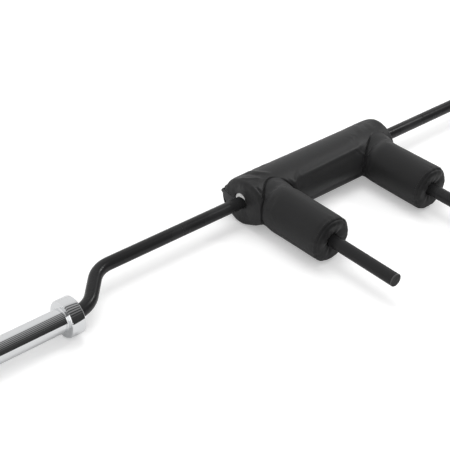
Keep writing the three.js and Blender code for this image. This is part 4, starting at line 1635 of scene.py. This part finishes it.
class SQUATBAR_OT_stage(bpy.types.Operator):
    """Set up the pale floor, soft studio light and the camera"""

    bl_idname = "squatbar.stage"
    bl_label = "Stage"

    # What metal mirrors of the studio: grey levels from the front horizon over the top to the back.
    levels = (
        (0.0, 0.036), (0.1, 0.04), (0.18, 0.06), (0.28, 0.12), (0.4, 0.19),
        (0.53, 0.27), (0.585, 0.34), (0.615, 0.76), (0.8, 0.8), (1.0, 0.78),
    )
    # Place, what it faces, size and power of each lamp, and whether it shows only in reflections.
    lamps = {
        "top_box": ((0.15, 0.45, 2.3), (-0.1, -0.1, 0), (1.5, 1.2), 19.0, False),
        "side_box": ((1.75, -0.62, 1.85), (-0.3, -0.05, 0), (0.3, 0.3), 8.0, False),
        "edge_box": ((1.75, -0.62, 1.85), (-0.3, -0.05, 0), (0.3, 0.3), 16.0, True),
    }

    def execute(self, context):
        scene = context.scene
        settings = scene.squatbar_stage
        scene.view_settings.view_transform = "Standard"
        self.add_floor(settings)
        self.add_world(scene)
        for name, lamp in self.lamps.items():
            self.add_lamp(name, *lamp)
        self.add_camera(scene, settings)
        return {"FINISHED"}

    @staticmethod
    def add_floor(settings):
        """Pale paper that looks white to the camera and keeps the bar's shadow."""
        size, glow, mirrored_front = 6.0, 0.32, 0.04
        mesh = bpy.data.meshes.new("floor")
        corners = [(-size, -size, 0), (size, -size, 0), (size, size, 0), (-size, size, 0)]
        mesh.from_pydata(corners, [], [(0, 1, 2, 3)])
        floor = bpy.data.objects.new("floor", mesh)
        bpy.context.scene.collection.objects.link(floor)
        paper = bpy.data.materials.new("floor_paper")
        paper.use_nodes = True
        finish = Finish(paper.node_tree)
        diffuse = finish.node("ShaderNodeBsdfDiffuse", {}, {"Color": (*settings.floor, 1)})
        lit = finish.node("ShaderNodeAddShader", {}, {0: diffuse, 1: finish.white("Emission", glow)})
        across, ahead, _ = finish.parts(finish.place())
        pale = ahead.maths("MAXIMUM", ahead.smooth(-0.42, -0.37), (across * -1.0).smooth(0.95, 1.0))
        mirrored = finish.mix(pale, finish.white("Emission", mirrored_front), diffuse)
        seen = finish.mix(finish.ray("Is Camera Ray"), diffuse, lit)
        surface = finish.mix(finish.ray("Is Glossy Ray"), seen, mirrored)
        finish.node("ShaderNodeOutputMaterial", {}, {"Surface": surface})
        mesh.materials.append(paper)

    def add_world(self, scene):
        """White to the camera; to metal, a bright back, a dark front and a soft change between."""
        daylight, card, stripe_pitch, stripe_share = 0.75, 1.25, 78, 0.8
        made = bpy.data.worlds.new("studio")
        scene.world = made
        made.use_nodes = True
        finish = Finish(made.node_tree)
        x, y, z = finish.parts(finish.node("ShaderNodeTexCoord", output="Generated"))
        over = z.maths("ARCTAN2", z, y * -1.0) / math.pi
        stops = [(place, (level,) * 3) for place, level in self.levels]
        studio = finish.node("ShaderNodeValToRGB", {"stops": stops}, {"Fac": over})
        striped = over.smooth(0.1, 0.25) * (1 - over.smooth(0.6, 0.62)) * stripe_share
        stripes = over.maths("SINE", over * stripe_pitch) * striped + 1
        scaled = {0: studio, "Scale": stripes}
        studio = finish.node("ShaderNodeVectorMath", {"operation": "SCALE"}, scaled)
        side_card = (x * -1.0).smooth(0.45, 0.53) * (1 - over.smooth(0.26, 0.31))
        studio = finish.blend(side_card, studio, (card, card, card))
        mirrored = finish.node("ShaderNodeBackground", {}, {"Color": studio, "Strength": 1.0})
        lit = finish.mix(finish.ray("Is Glossy Ray"), finish.white("Background", daylight), mirrored)
        surface = finish.mix(finish.ray("Is Camera Ray"), lit, finish.white("Background", 1.0))
        finish.node("ShaderNodeOutputWorld", {}, {"Surface": surface})

    @staticmethod
    def add_lamp(name, place, target, size, power, mirrored):
        light = bpy.data.lights.new(name, "AREA")
        light.shape = "RECTANGLE"
        light.size, light.size_y = size
        light.energy = power
        lamp = bpy.data.objects.new(name, light)
        lamp.location = place
        lamp.visible_glossy = mirrored
        lamp.visible_diffuse = not mirrored
        way = Vector(target) - Vector(place)
        lamp.rotation_euler = way.to_track_quat("-Z", "Y").to_euler()
        bpy.context.scene.collection.objects.link(lamp)

    @staticmethod
    def add_camera(scene, settings):
        view = bpy.data.cameras.new("camera")
        view.lens = settings.lens
        view.sensor_width = 36
        view.clip_end = 50
        eye = bpy.data.objects.new("camera", view)
        bpy.context.scene.collection.objects.link(eye)
        heading, tilt, roll = settings.heading, settings.tilt, settings.roll
        level = Vector((math.cos(heading), math.sin(heading), 0))
        ahead = Vector((-math.sin(heading), math.cos(heading), 0))
        forward = ahead * math.cos(tilt) - Vector((0, 0, math.sin(tilt)))
        upright = level.cross(forward)
        right = level * math.cos(roll) + upright * math.sin(roll)
        up = upright * math.cos(roll) - level * math.sin(roll)
        turned = Matrix((right, up, -forward)).transposed().to_4x4()
        eye.matrix_world = Matrix.Translation(Vector(settings.place)) @ turned
        scene.camera = eye


class SQUATBAR_PT_panel(bpy.types.Panel):
    """The builders in the 3D view's sidebar"""

    bl_label = "Safety squat bar"
    bl_idname = "SQUATBAR_PT_panel"
    bl_space_type = "VIEW_3D"
    bl_region_type = "UI"
    bl_category = "Squat bar"

    def draw(self, context):
        for name in GROUPS:
            box = self.layout.box()
            group = getattr(context.scene, name)
            for key in group.bl_rna.properties.keys():
                if key not in ("rna_type", "name"):
                    box.prop(group, key)
        for operator in OPERATORS:
            self.layout.operator(operator.bl_idname)


GROUPS = {
    "squatbar_bar": SQUATBAR_PG_bar,
    "squatbar_sleeve": SQUATBAR_PG_sleeve,
    "squatbar_pad": SQUATBAR_PG_pad,
    "squatbar_stage": SQUATBAR_PG_stage,
}

OPERATORS = [
    SQUATBAR_OT_stage,
    SQUATBAR_OT_shaft,
    SQUATBAR_OT_handles,
    SQUATBAR_OT_sleeves,
    SQUATBAR_OT_cover,
    SQUATBAR_OT_cores,
    SQUATBAR_OT_closure,
    SQUATBAR_OT_stitches,
]


def register():
    for made in [*GROUPS.values(), *OPERATORS, SQUATBAR_PT_panel]:
        bpy.utils.register_class(made)
    for name, group in GROUPS.items():
        setattr(bpy.types.Scene, name, bpy.props.PointerProperty(type=group))


def unregister():
    for name in GROUPS:
        delattr(bpy.types.Scene, name)
    for made in reversed([*GROUPS.values(), *OPERATORS, SQUATBAR_PT_panel]):
        bpy.utils.unregister_class(made)


def main():
    register()
    bpy.ops.squatbar.stage()
    bpy.ops.squatbar.shaft()
    bpy.ops.squatbar.handles()
    bpy.ops.squatbar.sleeves()
    bpy.ops.squatbar.cover()
    bpy.ops.squatbar.cores()
    bpy.ops.squatbar.closure()
    bpy.ops.squatbar.stitches()


if __name__ == "__main__":
    main()
